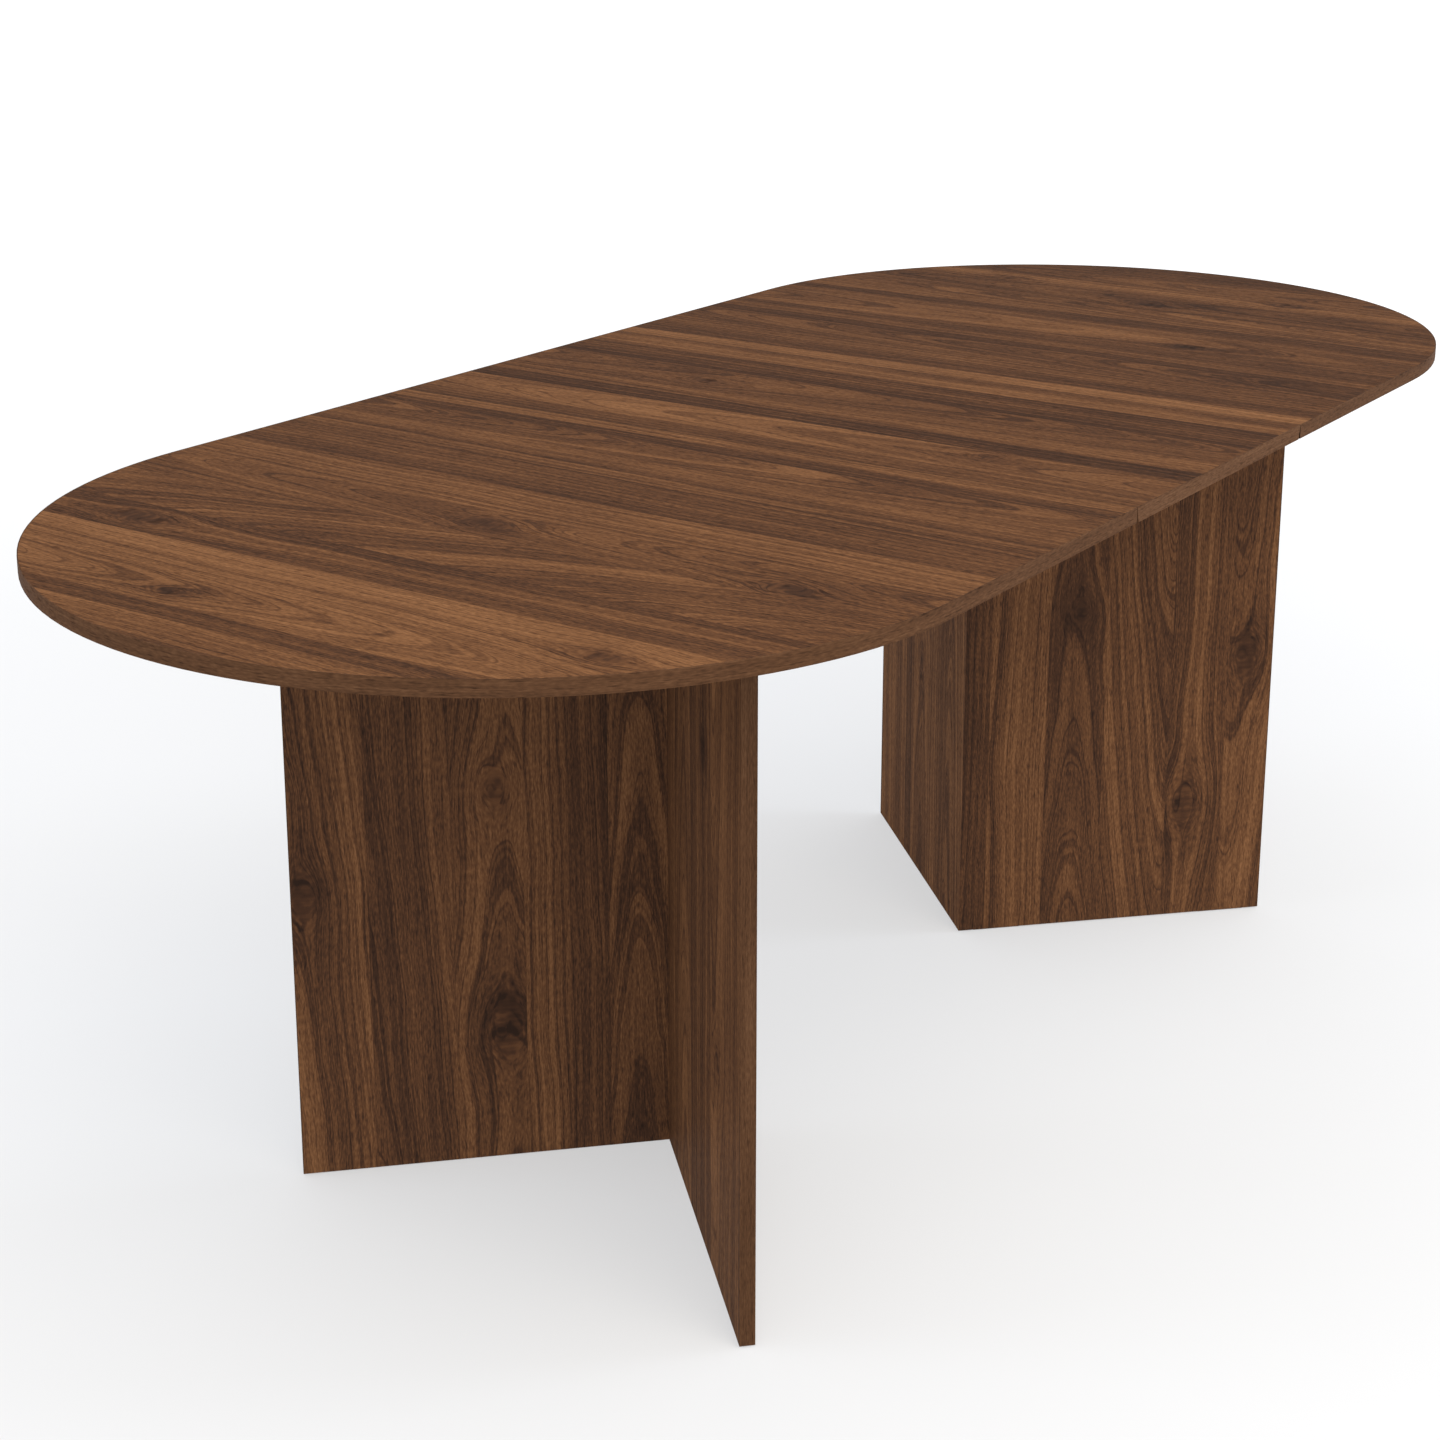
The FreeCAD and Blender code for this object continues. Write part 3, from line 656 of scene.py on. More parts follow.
@dataclass(frozen=True)
class BandFigure(WoodFigure):
    """Figure of the edge bands, as one node group: fine straight streaks, and painted shade that darkens
    them at a joint.
    """

    name: str = "band_figure"
    roughness: float = 0.50
    stops: Stops = (
        (0.00, (0.0090, 0.0045, 0.0028, 1.0)),
        (0.20, (0.0365, 0.0178, 0.0098, 1.0)),
        (0.50, (0.0665, 0.0318, 0.0161, 1.0)),
        (0.80, (0.1030, 0.0515, 0.0262, 1.0)),
    )
    streak: Grain = Grain(620.0, 5.0, 0.55, detail=3.0, roughness=0.6)
    drift: Grain = Grain(110.0, 5.0, 0.45)
    fleck: Grain = Grain(640.0, 150.0, 0.60, detail=1.0)
    # painted shade: how far the joint's mask darkens the band's tone
    joint_weight: float = -0.9

    def group(self) -> bpy.types.NodeTree:
        """Builds the group, with the place on the band, its tone and a mask of the painted joint shade as
        its inputs.

        Returns:
            The group's node tree.
        """
        wiring, given, result = new_group(self.name, ("Along", "Across", "Tone", "Joint"), SURFACE)
        place = (given["Across"], given["Along"])
        pores = self.pores(wiring, *place)
        tone = wiring.total(
            given["Tone"],
            wiring.grain(self.streak, *place),
            wiring.grain(self.drift, *place),
            wiring.grain(self.fleck, *place),
            wiring.times(pores, self.pore.weight),
            # painted shade in the crease where the bands meet at the leaf's joints
            wiring.times(given["Joint"], self.joint_weight),
        )
        self.give(wiring, result, tone, pores)
        return wiring.tree


@dataclass(frozen=True)
class MottleFigure:
    """Cloudy and speckled unevenness that the metal, nylon, felt, bare wood and floor share."""

    name: str = "mottle_figure"
    cloud_detail: float = 3.0
    cloud_roughness: float = 0.6
    speck_detail: float = 2.0
    speck_roughness: float = 0.5

    def group(self) -> bpy.types.NodeTree:
        """Builds the group: a stretched noise in two sizes, read in metres times the scales given.

        Returns:
            The group's node tree.
        """
        inputs = ("X", "Y", "Z", "Scale X", "Scale Y", "Scale Z", "Speck Scale")
        wiring, given, result = new_group(self.name, inputs, {"Cloud": FLOAT, "Speck": FLOAT})
        clouds = [wiring.times(given[axis], given[f"Scale {axis}"]) for axis in "XYZ"]
        specks = [wiring.times(value, given["Speck Scale"]) for value in clouds]
        cloud = wiring.noise(wiring.point(*clouds), self.cloud_detail, self.cloud_roughness)
        speck = wiring.noise(wiring.point(*specks), self.speck_detail, self.speck_roughness)
        wiring.feed(result["Cloud"], cloud)
        wiring.feed(result["Speck"], speck)
        return wiring.tree


@dataclass(frozen=True)
class Figures:
    """The node groups that the materials share."""

    walnut: bpy.types.NodeTree
    knot: bpy.types.NodeTree
    band: bpy.types.NodeTree
    mottle: bpy.types.NodeTree

    @staticmethod
    def build() -> Figures:
        """Builds each group once."""
        kinds = (WalnutFigure(), KnotFigure(), BandFigure(), MottleFigure())
        return Figures(*(figure.group() for figure in kinds))


def place_on_part(wiring: Wiring, turn: float = 0.0) -> dict[str, Socket]:
    """Reads the place on the part in metres.

    Args:
        wiring: The material's wiring.
        turn: The angle by which the place is turned about the upright axis, in radians.

    Returns:
        The three coordinates by axis.
    """
    place = wiring.add("ShaderNodeTexCoord").outputs["Object"]
    turned = wiring.add("ShaderNodeMapping", {"Vector": place, "Rotation": (0.0, 0.0, turn)})
    split = wiring.add("ShaderNodeSeparateXYZ", {"Vector": turned.outputs["Vector"]})
    return {axis: split.outputs[axis] for axis in "XYZ"}


@dataclass(frozen=True)
class Finish:
    """A finish by its name. Each kind of finish says what goes into its shader."""

    name: str

    def feeds(self, wiring: Wiring, figures: Figures) -> dict[str, Feed]:
        """Gives what goes into the shader's inputs, by name."""
        raise NotImplementedError

    def material(self, figures: Figures) -> Material:
        """Builds the material and feeds its shader.

        Args:
            figures: The shared node groups.

        Returns:
            The material.
        """
        material = bpy.data.materials.new(self.name)
        material.use_nodes = True
        wiring = Wiring(material.node_tree)
        wiring.feed_all(material.node_tree.nodes["Principled BSDF"], self.feeds(wiring, figures))
        return material


def wood_feeds(
    wiring: Wiring, figure: bpy.types.Node, relief: float, strength: float = 0.6
) -> dict[str, Feed]:
    """Gives what a figure of wood feeds into its shader, with hardly any gloss.

    Args:
        wiring: The material's wiring.
        figure: The group node with colour, roughness and relief.
        relief: The depth of the pores in metres.
        strength: How strongly the pores show.

    Returns:
        The feeds by input.
    """
    return {
        "Base Color": figure.outputs["Colour"],
        "Roughness": figure.outputs["Roughness"],
        "Normal": wiring.bump(figure.outputs["Relief"], strength, relief),
        "Specular IOR Level": WOOD_SPECULAR,
    }


def packed(value: float, reach: float) -> float:
    """Packs a value from minus the reach to the reach into 0 to 1."""
    return 0.5 + value / (2.0 * reach)


@dataclass(frozen=True)
class BoardFinish(Finish):
    """Satin walnut finish of one board, plank by plank. Lengths are in metres."""

    lay: Lay
    first_edge: float
    board: Board
    turn: float = 0.0
    pick_step: float = 0.381
    pith_reach: float = 0.5
    taper_reach: float = 1.0
    depth_reach: float = 0.2
    relief: float = 0.00012

    def feeds(self, wiring: Wiring, figures: Figures) -> dict[str, Feed]:
        """Lays the planks side by side across the board.

        Args:
            wiring: The material's wiring.
            figures: The shared node groups.

        Returns:
            The feeds by input.
        """
        place = place_on_part(wiring, self.turn)
        across = wiring.minus(place["X"], self.first_edge)
        along = place["Y"] if self.lay is Lay.ACROSS_TABLE else place["Z"]
        feeds = {"Across": across, "Along": along}
        feeds |= self.cuts(wiring, across)
        feeds |= self.knots(wiring, figures, across, along)
        figure = wiring.add("ShaderNodeGroup", feeds, node_tree=figures.walnut)
        return wood_feeds(wiring, figure, self.relief)

    def edges(self) -> np.ndarray:
        """Gives the planks' edges from the board's first edge: the running sum of their widths."""
        return np.concatenate([[0.0], np.cumsum([plank.width for plank in self.board.planks])])

    def cuts(self, wiring: Wiring, across: Socket) -> dict[str, Socket]:
        """Steps from plank to plank across the board.

        Two stepped ramps hold the planks' values as shares of their reach: one the tone, pith and taper,
        the other the depth and a pick that sets each plank's figure apart.

        Args:
            wiring: The material's wiring.
            across: The place across the board.

        Returns:
            The values of the plank at each point.
        """
        edges = self.edges()
        board_width = edges[-1]
        pith_reach = board_width + self.pith_reach
        middles = (edges[:-1] + edges[1:]) / 2.0
        cut_stops = []
        lie_stops = []
        for number, (plank, edge, middle) in enumerate(zip(self.board.planks, edges, middles)):
            pith = packed(middle + plank.pith, pith_reach)
            taper = packed(plank.taper, self.taper_reach)
            depth = packed(plank.depth, self.depth_reach)
            pick = (self.pick_step * (number + 1)) % 1.0
            cut_stops.append((edge / board_width, (plank.tone, pith, taper, 1.0)))
            lie_stops.append((edge / board_width, (depth, pick, 0.0, 1.0)))
        share = wiring.math("DIVIDE", across, board_width)
        cut, lie = (
            wiring.add("ShaderNodeSeparateColor", {"Color": wiring.ramp(share, stops, stepped=True)})
            for stops in (cut_stops, lie_stops)
        )
        return {
            "Tone": cut.outputs["Red"],
            "Pith Place": wiring.swing(cut.outputs["Green"], 2.0 * pith_reach),
            "Taper": wiring.swing(cut.outputs["Blue"], 2.0 * self.taper_reach),
            "Depth": wiring.swing(lie.outputs["Red"], 2.0 * self.depth_reach),
            "Pick": lie.outputs["Green"],
        }

    def knots(self, wiring: Wiring, figures: Figures, across: Socket, along: Socket) -> dict[str, Feed]:
        """Adds up what the board's knots do to the grain, each within its own plank.

        Args:
            wiring: The material's wiring.
            figures: The shared node groups.
            across: The place across the board.
            along: The place along the grain.

        Returns:
            The grain's sway and the knots' shade.
        """
        edges = self.edges()
        sums: dict[str, Feed] = {"Sway": 0.0, "Shade": 0.0}
        for knot in self.board.knots:
            last = int(np.searchsorted(edges, knot.across))
            feeds: dict[str, Feed] = {"Across": across, "Along": along, "Knot Across": knot.across}
            feeds |= {"Knot Along": knot.along, "Knot Radius": knot.radius}
            feeds |= {"First Edge": edges[last - 1], "Last Edge": edges[last]}
            node = wiring.add("ShaderNodeGroup", feeds, node_tree=figures.knot)
            sums = {name: wiring.total(value, node.outputs[name]) for name, value in sums.items()}
        return sums


@dataclass(frozen=True)
class BandFinish(Finish):
    """Duller walnut finish of one run of edge band. Lengths are in metres."""

    run: BandRun
    tone: float = 0.5
    # how far the painted joint shade reaches from the joint, in metres
    joint_reach: float = 0.0006
    relief: float = 0.00010

    def feeds(self, wiring: Wiring, figures: Figures) -> dict[str, Feed]:
        """Lays the streaks along the band.

        Args:
            wiring: The material's wiring.
            figures: The shared node groups.

        Returns:
            The feeds by input.
        """
        place = place_on_part(wiring)
        along, across = self.run_and_rise(wiring, place)
        # the Joint input carries the mask of the painted joint shade
        feeds = {"Along": along, "Across": across, "Tone": self.tone, "Joint": self.joint(wiring, place)}
        figure = wiring.add("ShaderNodeGroup", feeds, node_tree=figures.band)
        return wood_feeds(wiring, figure, self.relief)

    def joint(self, wiring: Wiring, place: Place) -> Feed:
        """Masks the painted shade at the leaf's joints, where the band is painted darker than the rest as
        shade falls in the crease between the pieces.

        Args:
            wiring: The material's wiring.
            place: The place on the part.

        Returns:
            One at a joint, falling to nought within the reach, and nought on a band that crosses none.
        """
        if self.run in (BandRun.UPRIGHT, BandRun.CROSSWISE):
            return 0.0
        away = wiring.minus(wiring.math("ABSOLUTE", place["X"]), JOINT_PLACE)
        return wiring.soft_step(wiring.math("ABSOLUTE", away), self.joint_reach, 0.0)

    def run_and_rise(self, wiring: Wiring, place: Place) -> tuple[Socket, Socket]:
        """Finds the place along the band and across it.

        Round an end, the run is the straight part plus the end's radius times the angle about the end's
        centre, so the streaks go round with the edge.

        Args:
            wiring: The material's wiring.
            place: The place on the part.

        Returns:
            The place along the band and the place across it.
        """
        reach = wiring.math("ABSOLUTE", place["X"])
        if self.run is BandRun.UPRIGHT:
            return place["Z"], wiring.minus(reach, wiring.math("ABSOLUTE", place["Y"]))
        if self.run is BandRun.CROSSWISE:
            return place["Y"], place["Z"]
        if self.run is BandRun.LENGTHWISE:
            return place["X"], place["Z"]
        past = wiring.math("MAXIMUM", wiring.minus(reach, STRAIGHT_HALF), 0.0)
        angle = wiring.math("ARCTAN2", past, place["Y"])
        straight = wiring.math("MINIMUM", reach, STRAIGHT_HALF)
        return wiring.math("MULTIPLY_ADD", angle, END_RADIUS, straight), place["Z"]


BAND_FINISHES = (
    BandFinish("walnut_band_round_end", BandRun.ROUND_END, tone=0.47),
    BandFinish("walnut_band_crosswise", BandRun.CROSSWISE),
    BandFinish("walnut_band_lengthwise", BandRun.LENGTHWISE, tone=0.58),
    BandFinish("walnut_band_upright", BandRun.UPRIGHT),
)


def add_mottle(
    wiring: Wiring, figures: Figures, place: Place, scale: Sequence[float], speck_scale: float
) -> tuple[Socket, Socket]:
    """Adds the shared clouds and specks to a material.

    Args:
        wiring: The material's wiring.
        figures: The shared node groups.
        place: The place on the part.
        scale: The number of clouds per metre along each axis.
        speck_scale: The number of specks per cloud.

    Returns:
        The clouds and the specks, from 0 to 1.
    """
    feeds: dict[str, Feed] = dict(place)
    feeds |= {f"Scale {axis}": value for axis, value in zip("XYZ", scale)}
    feeds["Speck Scale"] = speck_scale
    figure = wiring.add("ShaderNodeGroup", feeds, node_tree=figures.mottle)
    return figure.outputs["Cloud"], figure.outputs["Speck"]


@dataclass(frozen=True)
class MottledFinish(Finish):
    """Finish whose colour and gloss vary in clouds and specks. Lengths are in metres."""

    dark: Colour
    light: Colour
    roughness: float
    roughness_reach: float
    scale: tuple[float, float, float]
    speck_scale: float = 8.0
    middle: float = 0.5
    cloud_weight: float = 1.2
    speck_weight: float = 0.8
    metallic: float = 0.0
    specular: float = 0.5
    sheen: float = 0.0
    relief: float = 0.0
    relief_strength: float = 0.5

    def feeds(self, wiring: Wiring, figures: Figures) -> dict[str, Feed]:
        """Blends the two colours in clouds and specks, and varies the gloss with the clouds.

        Args:
            wiring: The material's wiring.
            figures: The shared node groups.

        Returns:
            The feeds by input.
        """
        cloud, speck = add_mottle(wiring, figures, place_on_part(wiring), self.scale, self.speck_scale)
        clouded = wiring.swing(cloud, self.cloud_weight)
        blend = wiring.total(clouded, wiring.swing(speck, self.speck_weight), self.middle)
        feeds: dict[str, Feed] = {"Base Color": wiring.ramp(blend, ((0.0, self.dark), (1.0, self.light)))}
        feeds["Roughness"] = wiring.total(wiring.swing(cloud, self.roughness_reach), self.roughness)
        feeds |= {"Metallic": self.metallic, "Specular IOR Level": self.specular}
        feeds["Sheen Weight"] = self.sheen
        if self.relief:
            feeds["Normal"] = wiring.bump(speck, self.relief_strength, self.relief)
        return feeds


FITTING_FINISHES = {
    Fitting.ZINC: MottledFinish(
        name="zinc_plated_steel",
        dark=(0.28, 0.29, 0.30, 1.0),
        light=(0.48, 0.49, 0.50, 1.0),
        roughness=0.36,
        roughness_reach=0.24,
        scale=(6.0, 90.0, 90.0),
        metallic=1.0,
    ),
    Fitting.TURNED: MottledFinish(
        name="turned_steel",
        dark=(0.38, 0.38, 0.39, 1.0),
        light=(0.60, 0.60, 0.61, 1.0),
        roughness=0.26,
        roughness_reach=0.18,
        scale=(60.0, 60.0, 900.0),
        metallic=1.0,
    ),
    Fitting.NYLON: MottledFinish(
        name="black_nylon",
        dark=(0.012, 0.012, 0.013, 1.0),
        light=(0.030, 0.030, 0.032, 1.0),
        roughness=0.46,
        roughness_reach=0.16,
        scale=(60.0, 60.0, 60.0),
        relief=0.00008,
    ),
    Fitting.FELT: MottledFinish(
        name="brown_felt",
        dark=(0.050, 0.040, 0.034, 1.0),
        light=(0.130, 0.110, 0.095, 1.0),
        roughness=0.92,
        roughness_reach=0.06,
        scale=(220.0, 220.0, 220.0),
        sheen=0.4,
        relief=0.00030,
    ),
    Fitting.BARE_WOOD: MottledFinish(
        name="bare_wood",
        dark=(0.36, 0.25, 0.15, 1.0),
        light=(0.58, 0.44, 0.28, 1.0),
        roughness=0.62,
        roughness_reach=0.14,
        scale=(140.0, 140.0, 7.0),
        relief=0.00008,
    ),
}


@dataclass(frozen=True)
class FloorFinish(Finish):
    """Pale floor that glows a little, and more with the distance, so that it runs into a white surround.

    Lengths are in metres.
    """

    name: str = "pale_floor"
    dark: Colour = (0.308, 0.313, 0.325, 1.0)
    light: Colour = (0.328, 0.333, 0.345, 1.0)
    scale: tuple[float, float, float] = (0.7, 0.7, 0.7)
    speck_scale: float = 8.0
    roughness: float = 0.8
    near_glow: Colour = (0.48, 0.48, 0.48, 1.0)
    far_glow: Colour = (0.80, 0.80, 0.80, 1.0)
    near_reach: float = 1.4
    far_reach: float = 5.5

    def feeds(self, wiring: Wiring, figures: Figures) -> dict[str, Feed]:
        """Clouds the colour, and lets the glow rise with the distance from the middle.

        Args:
            wiring: The material's wiring.
            figures: The shared node groups.

        Returns:
            The feeds by input.
        """
        place = place_on_part(wiring)
        cloud, _ = add_mottle(wiring, figures, place, self.scale, self.speck_scale)
        distance = wiring.math("SQRT", wiring.squares(place["X"], place["Y"]))
        far = wiring.soft_step(distance, self.near_reach, self.far_reach)
        feeds: dict[str, Feed] = {"Base Color": wiring.ramp(cloud, ((0.0, self.dark), (1.0, self.light)))}
        feeds["Emission Color"] = wiring.ramp(far, ((0.0, self.near_glow), (1.0, self.far_glow)))
        feeds |= {"Roughness": self.roughness, "Specular IOR Level": 0.0, "Emission Strength": 1.0}
        return feeds


@dataclass(frozen=True)
class Finishes:
    """The shared node groups, and the materials that more than one piece takes."""

    figures: Figures
    bands: Mapping[BandRun, Material]
    fittings: Mapping[Fitting, Material]

    @staticmethod
    def build() -> Finishes:
        """Builds each group and each shared material once.

        Returns:
            The finishes.
        """
        figures = Figures.build()
        bands = {finish.run: finish.material(figures) for finish in BAND_FINISHES}
        fittings = {fitting: finish.material(figures) for fitting, finish in FITTING_FINISHES.items()}
        return Finishes(figures, bands, fittings)


def dress(nodes: Sequence[str], material: Material) -> None:
    """Gives a finish to nodes of the frame.

    Args:
        nodes: The nodes' names.
        material: The finish.
    """
    for name in nodes:
        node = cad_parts[name]
        if not node.material_slots:
            node.data.materials.append(material)
        for slot in node.material_slots:
            slot.material = material
        LOG.info("dressed %s with %s", name, material.name)


@dataclass(frozen=True)
class ScrewHead:
    """A screw with a cross recess, as a turned surface. Lengths are in metres.

    The guide is a direction that no screw faces. It sets how the cross is turned about the axis.
    """

    shape: HeadShape
    radius: float
    height: float
    rim_share: float = 0.3
    shank_radius: float = 0.0019
    shank_length: float = 0.0060
    sides: int = 48
    crown_rings: int = 10
    recess_reach: float = 0.58
    recess_half_width: float = 0.00055
    recess_depth: float = 0.0011
    recess_slope: float = 0.0003
    guide: tuple[float, float, float] = (0.31, 0.95, 0.05)

    def profile(self) -> tuple[np.ndarray, np.ndarray]:
        """Gives the outline from the middle of the crown to the tip.

        A domed crown is a quarter of an ellipse that stands on a short rim. A flush crown is flat, and a
        cone goes from its rim to the shank.

        Returns:
            The radii and the heights above the seat.
        """
        share = np.linspace(0.0, 1.0, self.crown_rings)
        if self.shape is HeadShape.PAN:
            rim = self.rim_share * self.height
            heights = rim + (self.height - rim) * np.sqrt(np.clip(1.0 - share**2, 0.0, 1.0))
            below = np.array([[self.radius, 0.0], [self.shank_radius, 0.0]])
        else:
            heights = np.zeros_like(share)
            below = np.array([[self.shank_radius, self.shank_radius - self.radius]])
        shank_end = [self.shank_radius, -self.shank_length]
        tip = [0.0, -self.shank_length - self.shank_radius]
        outline = np.vstack([np.column_stack([share * self.radius, heights]), below, shank_end, tip])
        return outline[:, 0], outline[:, 1]

    def slot(self, run: np.ndarray, side: np.ndarray) -> np.ndarray:
        """Gives one soft-sided slot of the recess.

        It is the distance inside the slot's ends times the distance inside its walls, each as a share of
        the slope, from nought to one.

        Args:
            run: The places along the slot from the middle of the head.
            side: The places across the slot.

        Returns:
            Nought outside the slot, rising to one on its floor.
        """
        reach = self.recess_reach * self.radius
        ends = np.clip((reach - np.abs(run)) / self.recess_slope, 0.0, 1.0)
        walls = np.clip((self.recess_half_width - np.abs(side)) / self.recess_slope, 0.0, 1.0)
        return ends * walls

    def recess(self, x: np.ndarray, y: np.ndarray) -> np.ndarray:
        """Gives the depth of the cross recess: the deeper of two slots at right angles."""
        return self.recess_depth * np.maximum(self.slot(x, y), self.slot(y, x))

    def surface(self) -> tuple[np.ndarray, np.ndarray, np.ndarray]:
        """Turns the outline about its axis and sinks the recess into the crown.

        Returns:
            The points, the four-sided faces between the rings, and the three-sided faces at both ends.
        """
        radii, heights = self.profile()
        angle = np.linspace(0.0, math.tau, self.sides, endpoint=False)
        rings = slice(1, len(radii) - 1)
        x = np.outer(radii[rings], np.cos(angle))
        y = np.outer(radii[rings], np.sin(angle))
        z = np.repeat(heights[rings, None], self.sides, axis=1)
        crown = slice(0, self.crown_rings - 2)
        z[crown] -= self.recess(x[crown], y[crown])
        body = np.stack([x, y, z], axis=-1).reshape(-1, 3)
        points = np.vstack([body, [0.0, 0.0, heights[0] - self.recess_depth], [0.0, 0.0, heights[-1]]])
        index = np.arange(len(body)).reshape(-1, self.sides)
        after = np.roll(index, -1, axis=1)
        quads = np.stack([index[:-1], index[1:], after[1:], after[:-1]], axis=-1).reshape(-1, 4)
        top = np.full(self.sides, len(body))
        top_fan = np.stack([top, index[0], after[0]], axis=-1)
        tip_fan = np.stack([top + 1, after[-1], index[-1]], axis=-1)
        return points, quads, np.vstack([top_fan, tip_fan])

    def build(self, name: str, body: str, seats: np.ndarray, axes: np.ndarray, metal: Material) -> None:
        """Builds one piece with a screw at each seat.

        Each screw's points are the screw's own points in the frame of two directions across its axis and
        the axis itself, moved to the seat.

        Args:
            name: The piece's name.
            body: The body that it rides on.
            seats: The middle of each seat, one row each.
            axes: The direction in which each head faces, one row each.
            metal: The screws' finish.
        """
        points, quads, fans = self.surface()
        level = np.cross(axes, self.guide)
        level /= np.linalg.norm(level, axis=1, keepdims=True)
        frames = np.stack([level, np.cross(axes, level), axes], axis=1)
        placed = np.einsum("pi,sij->spj", points, frames) + seats[:, None, :]
        starts = np.arange(len(seats))[:, None, None] * len(points)
        faces = (quads + starts).reshape(-1, 4).tolist() + (fans + starts).reshape(-1, 3).tolist()
        mesh = bpy.data.meshes.new(name)
        mesh.from_pydata(placed.reshape(-1, 3).tolist(), [], faces)
        mesh.materials.append(metal)
        piece = bpy.data.objects.new(name, mesh)
        bpy.context.scene.collection.objects.link(piece)
        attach(piece, body)
        LOG.info("built %s with %d screws", name, len(seats))


@dataclass
class HalfTop:
    """One half of the top, with its round edge band and its straight joint band."""

    side: Side
    board: Board

    def dress(self, finishes: Finishes) -> None:
        """Gives the half its walnut and its bands.

        Args:
            finishes: The table's finishes.
        """
        node = f"top_{self.side.word}"
        first_band = "edge_band" if self.side is Side.LEFT else "joint_band"
        first_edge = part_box(f"{node}_{first_band}")[0].x
        finish = BoardFinish(f"walnut_{node}", Lay.ACROSS_TABLE, first_edge, self.board)
        dress([node], finish.material(finishes.figures))
        dress([f"{node}_edge_band"], finishes.bands[BandRun.ROUND_END])
        dress([f"{node}_joint_band"], finishes.bands[BandRun.CROSSWISE])


@dataclass
class CentreLeaf:
    """The loose leaf with its bands, saddles, studs and saddle screws. Lengths are in metres."""

    board: Board
    saddle_offset: float = 0.120
    row_offset: float = 0.340
    saddle_seat: float = 0.72335
    screw: ScrewHead = ScrewHead(HeadShape.PAN, radius=0.0034, height=0.0018, recess_depth=0.0009)

    def build(self, finishes: Finishes) -> None:
        """Builds the four screws that hold the saddles.

        Args:
            finishes: The table's finishes.
        """
        seats = np.array(
            [
                [side.value * self.saddle_offset, row.value * self.row_offset, self.saddle_seat]
                for side in Side
                for row in Row
            ]
        )
        axes = np.tile(DOWN, (len(seats), 1))
        self.screw.build("leaf_saddle_screws", "leaf", seats, axes, finishes.fittings[Fitting.TURNED])

    def dress(self, finishes: Finishes) -> None:
        """Gives the leaf its walnut, its bands and its fittings' finishes.

        Args:
            finishes: The table's finishes.
        """
        first_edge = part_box("leaf_joint_bands")[0].x
        finish = BoardFinish("walnut_leaf", Lay.ACROSS_TABLE, first_edge, self.board)
        dress(["leaf"], finish.material(finishes.figures))
        dress(["leaf_edge_bands"], finishes.bands[BandRun.LENGTHWISE])
        dress(["leaf_joint_bands"], finishes.bands[BandRun.CROSSWISE])
        dress(["leaf_saddles"], finishes.fittings[Fitting.NYLON])
        dress(["leaf_studs"], finishes.fittings[Fitting.TURNED])


@dataclass
class VBase:
    """One base: two upright panels mitred at the apex, with brackets, bands and felt.

    Lengths are in metres.
    """

    side: Side
    boards: Mapping[Row, Board]
    apex_offset: float = 0.305
    arm_angle: float = math.radians(45.0)
    panel_thickness: float = 0.015
    bracket_places: tuple[float, float] = (0.110, 0.310)
    bracket_thickness: float = 0.002
    hole_setback: float = 0.018
    top_underside: float = 0.725
    screw: ScrewHead = ScrewHead(HeadShape.PAN, radius=0.0039, height=0.0024)

    def arm(self, row: Row) -> tuple[np.ndarray, np.ndarray]:
        """Gives the directions of one panel.

        Args:
            row: The panel's row.

        Returns:
            The direction from the apex along the panel, and the direction into the V.
        """
        cosine = math.cos(self.arm_angle)
        sine = math.sin(self.arm_angle)
        along = np.array([self.side.value * cosine, row.value * sine, 0.0])
        inward = np.array([self.side.value * sine, -row.value * cosine, 0.0])
        return along, inward

    def build(self, finishes: Finishes) -> None:
        """Builds the screws of the brackets, one into the top and one into the panel at each bracket.

        Args:
            finishes: The table's finishes.
        """
        seats = []
        axes = []
        apex = np.array([self.side.value * self.apex_offset, 0.0, self.top_underside])
        for row in Row:
            along, inward = self.arm(row)
            for place in self.bracket_places:
                corner = apex + place * along + self.panel_thickness * inward
                for axis, leg in ((DOWN, inward), (inward, DOWN)):
                    seats.append(corner + self.hole_setback * leg + self.bracket_thickness * axis)
                    axes.append(axis)
        name = f"base_{self.side.word}_bracket_screws"
        body = f"{self.side.word}_half"
        self.screw.build(name, body, np.array(seats), np.array(axes), finishes.fittings[Fitting.TURNED])

    def dress(self, finishes: Finishes) -> None:
        """Gives the panels their walnut and the rest its finishes.

        Args:
            finishes: The table's finishes.
        """
        base = f"base_{self.side.word}"
        first_edge = self.apex_offset * math.cos(self.arm_angle)
        for row in Row:
            along, _ = self.arm(row)
            turn = -math.atan2(along[1], along[0])
            node = f"{base}_{row.word}_panel"
            finish = BoardFinish(f"walnut_{node}", Lay.UPRIGHT, first_edge, self.boards[row], turn)
            dress([node], finish.material(finishes.figures))
        dress([f"{base}_end_bands"], finishes.bands[BandRun.UPRIGHT])
        dress([f"{base}_mitre_tongue"], finishes.fittings[Fitting.BARE_WOOD])
        dress([f"{base}_brackets"], finishes.fittings[Fitting.ZINC])
        dress([f"{base}_felt_pads"], finishes.fittings[Fitting.FELT])


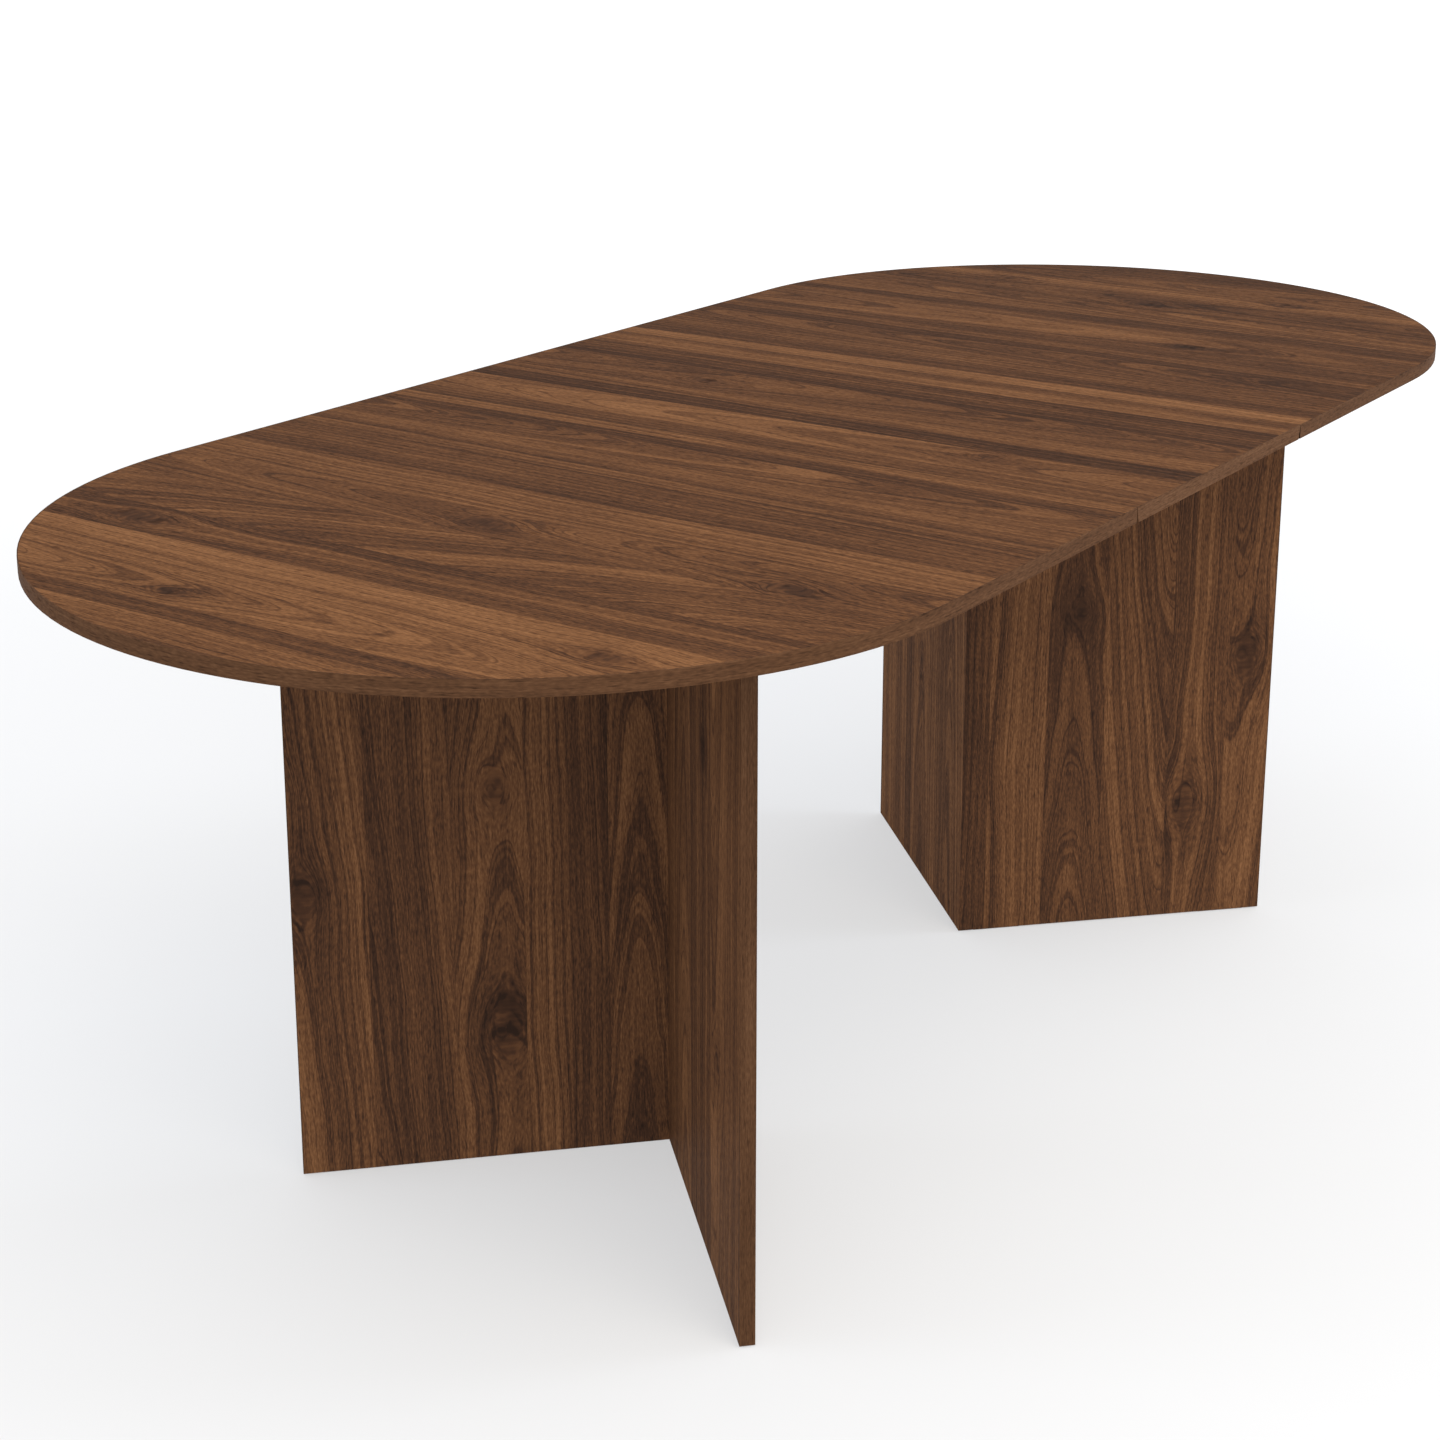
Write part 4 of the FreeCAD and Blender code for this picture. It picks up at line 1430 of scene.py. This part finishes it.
@dataclass
class SlideSet:
    """The channels and guides under one half, with the channels' screws. Lengths are in metres."""

    side: Side
    screw_places: tuple[float, float] = (0.27515, 0.44515)
    row_offset: float = 0.340
    channel_face: float = 0.723
    screw: ScrewHead = ScrewHead(HeadShape.FLUSH, radius=0.0037, height=0.0, shank_length=0.0080)

    def build(self, finishes: Finishes) -> None:
        """Builds the screws that hold the channels to the top.

        Args:
            finishes: The table's finishes.
        """
        seats = np.array(
            [
                [self.side.value * place, row.value * self.row_offset, self.channel_face]
                for row in Row
                for place in self.screw_places
            ]
        )
        axes = np.tile(DOWN, (len(seats), 1))
        name = f"slide_{self.side.word}_channel_screws"
        self.screw.build(name, f"{self.side.word}_half", seats, axes, finishes.fittings[Fitting.TURNED])

    def dress(self, finishes: Finishes) -> None:
        """Gives the channels and guides their finishes.

        Args:
            finishes: The table's finishes.
        """
        channels = [f"slide_channel_{self.side.word}_{row.word}" for row in Row]
        dress(channels, finishes.fittings[Fitting.ZINC])
        dress([f"slide_{self.side.word}_guides"], finishes.fittings[Fitting.NYLON])


@dataclass
class HookLatch:
    """One hook latch with its pivot and spacer."""

    side: Side

    def dress(self, finishes: Finishes) -> None:
        """Gives the latch, pivot and spacer their finishes.

        Args:
            finishes: The table's finishes.
        """
        latch = f"latch_{self.side.word}"
        dress([latch], finishes.fittings[Fitting.ZINC])
        dress([f"{latch}_pivot"], finishes.fittings[Fitting.TURNED])
        dress([f"{latch}_spacer"], finishes.fittings[Fitting.NYLON])


@dataclass
class MiddleRails:
    """The two rails that run in both halves' channels, with their shoes."""

    def dress(self, finishes: Finishes) -> None:
        """Gives the rails and shoes their finishes."""
        dress([f"middle_rail_{row.word}" for row in Row], finishes.fittings[Fitting.ZINC])
        dress(["middle_rail_shoes"], finishes.fittings[Fitting.NYLON])


@dataclass(frozen=True)
class SoftLight:
    """A square light: its place and side in metres, its power in watts, and its tint."""

    name: str
    place: tuple[float, float, float]
    side: float
    power: float
    tint: tuple[float, float, float]


WHITE = (1.0, 1.0, 1.0)
WARM = (1.0, 0.88, 0.70)
COOL = (0.90, 1.0, 1.12)


@dataclass
class Studio:
    """The floor, the light and the camera. Lengths are in metres and angles in degrees."""

    floor_half: float = 60.0
    floor_drop: float = 0.0004
    world_strength: float = 1.15
    lights: tuple[SoftLight, ...] = (
        SoftLight("key", (-1.6, -2.6, 3.4), 3.6, 110.0, WARM),
        SoftLight("fill", (3.2, -1.4, 2.6), 4.0, 20.0, WHITE),
        SoftLight("low_front", (-4.2, -2.9, 1.2), 2.2, 70.0, COOL),
        SoftLight("low_back", (-3.4, 3.7, 1.2), 2.2, 88.0, COOL),
        SoftLight("low_right", (3.2, -3.8, 0.8), 1.4, 150.0, COOL),
    )
    aim: tuple[float, float, float] = (0.0, 0.0, 0.45)
    camera_place: tuple[float, float, float] = (-2.2964, -1.4073, 1.3618)
    camera_yaw: float = 34.263
    camera_pitch: float = 15.230
    camera_lens: float = 63.20
    camera_shift: float = -0.15
    camera_reach: float = 240.0

    def build_floor(self, figures: Figures) -> None:
        """Builds a wide flat floor a hair under the feet.

        Args:
            figures: The shared node groups.
        """
        corners = np.array([[-1, -1], [1, -1], [1, 1], [-1, 1]]) * self.floor_half
        points = np.column_stack([corners, np.full(len(corners), -self.floor_drop)])
        mesh = bpy.data.meshes.new("floor")
        mesh.from_pydata(points.tolist(), [], [[0, 1, 2, 3]])
        mesh.materials.append(FloorFinish().material(figures))
        floor = bpy.data.objects.new("floor", mesh)
        bpy.context.scene.collection.objects.link(floor)

    def build_light(self) -> None:
        """Builds an even white surround and the soft lights."""
        scene = bpy.context.scene
        scene.world = bpy.data.worlds.new("studio")
        scene.world.use_nodes = True
        surround = scene.world.node_tree.nodes["Background"]
        surround.inputs["Color"].default_value = (*WHITE, 1.0)
        surround.inputs["Strength"].default_value = self.world_strength
        for light in self.lights:
            self.set_light(light)
        scene.view_settings.view_transform = "Standard"

    def set_light(self, soft: SoftLight) -> None:
        """Sets up a square light that faces the table and doesn't show itself.

        Args:
            soft: The light.
        """
        light = bpy.data.lights.new(soft.name, "AREA")
        light.energy = soft.power
        light.size = soft.side
        light.color = soft.tint
        lamp = bpy.data.objects.new(soft.name, light)
        away = np.array(soft.place) - np.array(self.aim)
        level = math.hypot(away[0], away[1])
        lamp.location = soft.place
        lamp.rotation_euler = (math.atan2(level, away[2]), 0.0, math.atan2(away[0], -away[1]))
        lamp.visible_camera = False
        bpy.context.scene.collection.objects.link(lamp)

    def build_camera(self) -> None:
        """Builds the camera at the photograph's viewing angle."""
        lens = bpy.data.cameras.new("camera")
        lens.lens = self.camera_lens
        lens.shift_y = self.camera_shift
        lens.clip_end = self.camera_reach
        camera = bpy.data.objects.new("camera", lens)
        camera.location = self.camera_place
        tilt = math.radians(90.0 - self.camera_pitch)
        heading = math.radians(self.camera_yaw - 90.0)
        camera.rotation_euler = (tilt, 0.0, heading)
        bpy.context.scene.collection.objects.link(camera)
        bpy.context.scene.camera = camera


def main() -> None:
    """Builds and dresses the sub-assemblies in order, then the studio."""
    logging.basicConfig(level=logging.INFO, format="%(name)s: %(message)s")
    finishes = Finishes.build()
    HalfTop(Side.LEFT, LEFT_TOP).dress(finishes)
    HalfTop(Side.RIGHT, RIGHT_TOP).dress(finishes)
    for assembly in (
        CentreLeaf(LEAF),
        VBase(Side.LEFT, {Row.FRONT: LEFT_FRONT_PANEL, Row.BACK: LEFT_BACK_PANEL}),
        VBase(Side.RIGHT, {Row.FRONT: RIGHT_FRONT_PANEL, Row.BACK: RIGHT_BACK_PANEL}),
        SlideSet(Side.LEFT),
        SlideSet(Side.RIGHT),
    ):
        assembly.build(finishes)
        assembly.dress(finishes)
    for side in Side:
        HookLatch(side).dress(finishes)
    MiddleRails().dress(finishes)
    studio = Studio()
    studio.build_floor(finishes.figures)
    studio.build_light()
    studio.build_camera()


if __name__ == "__main__":
    main()
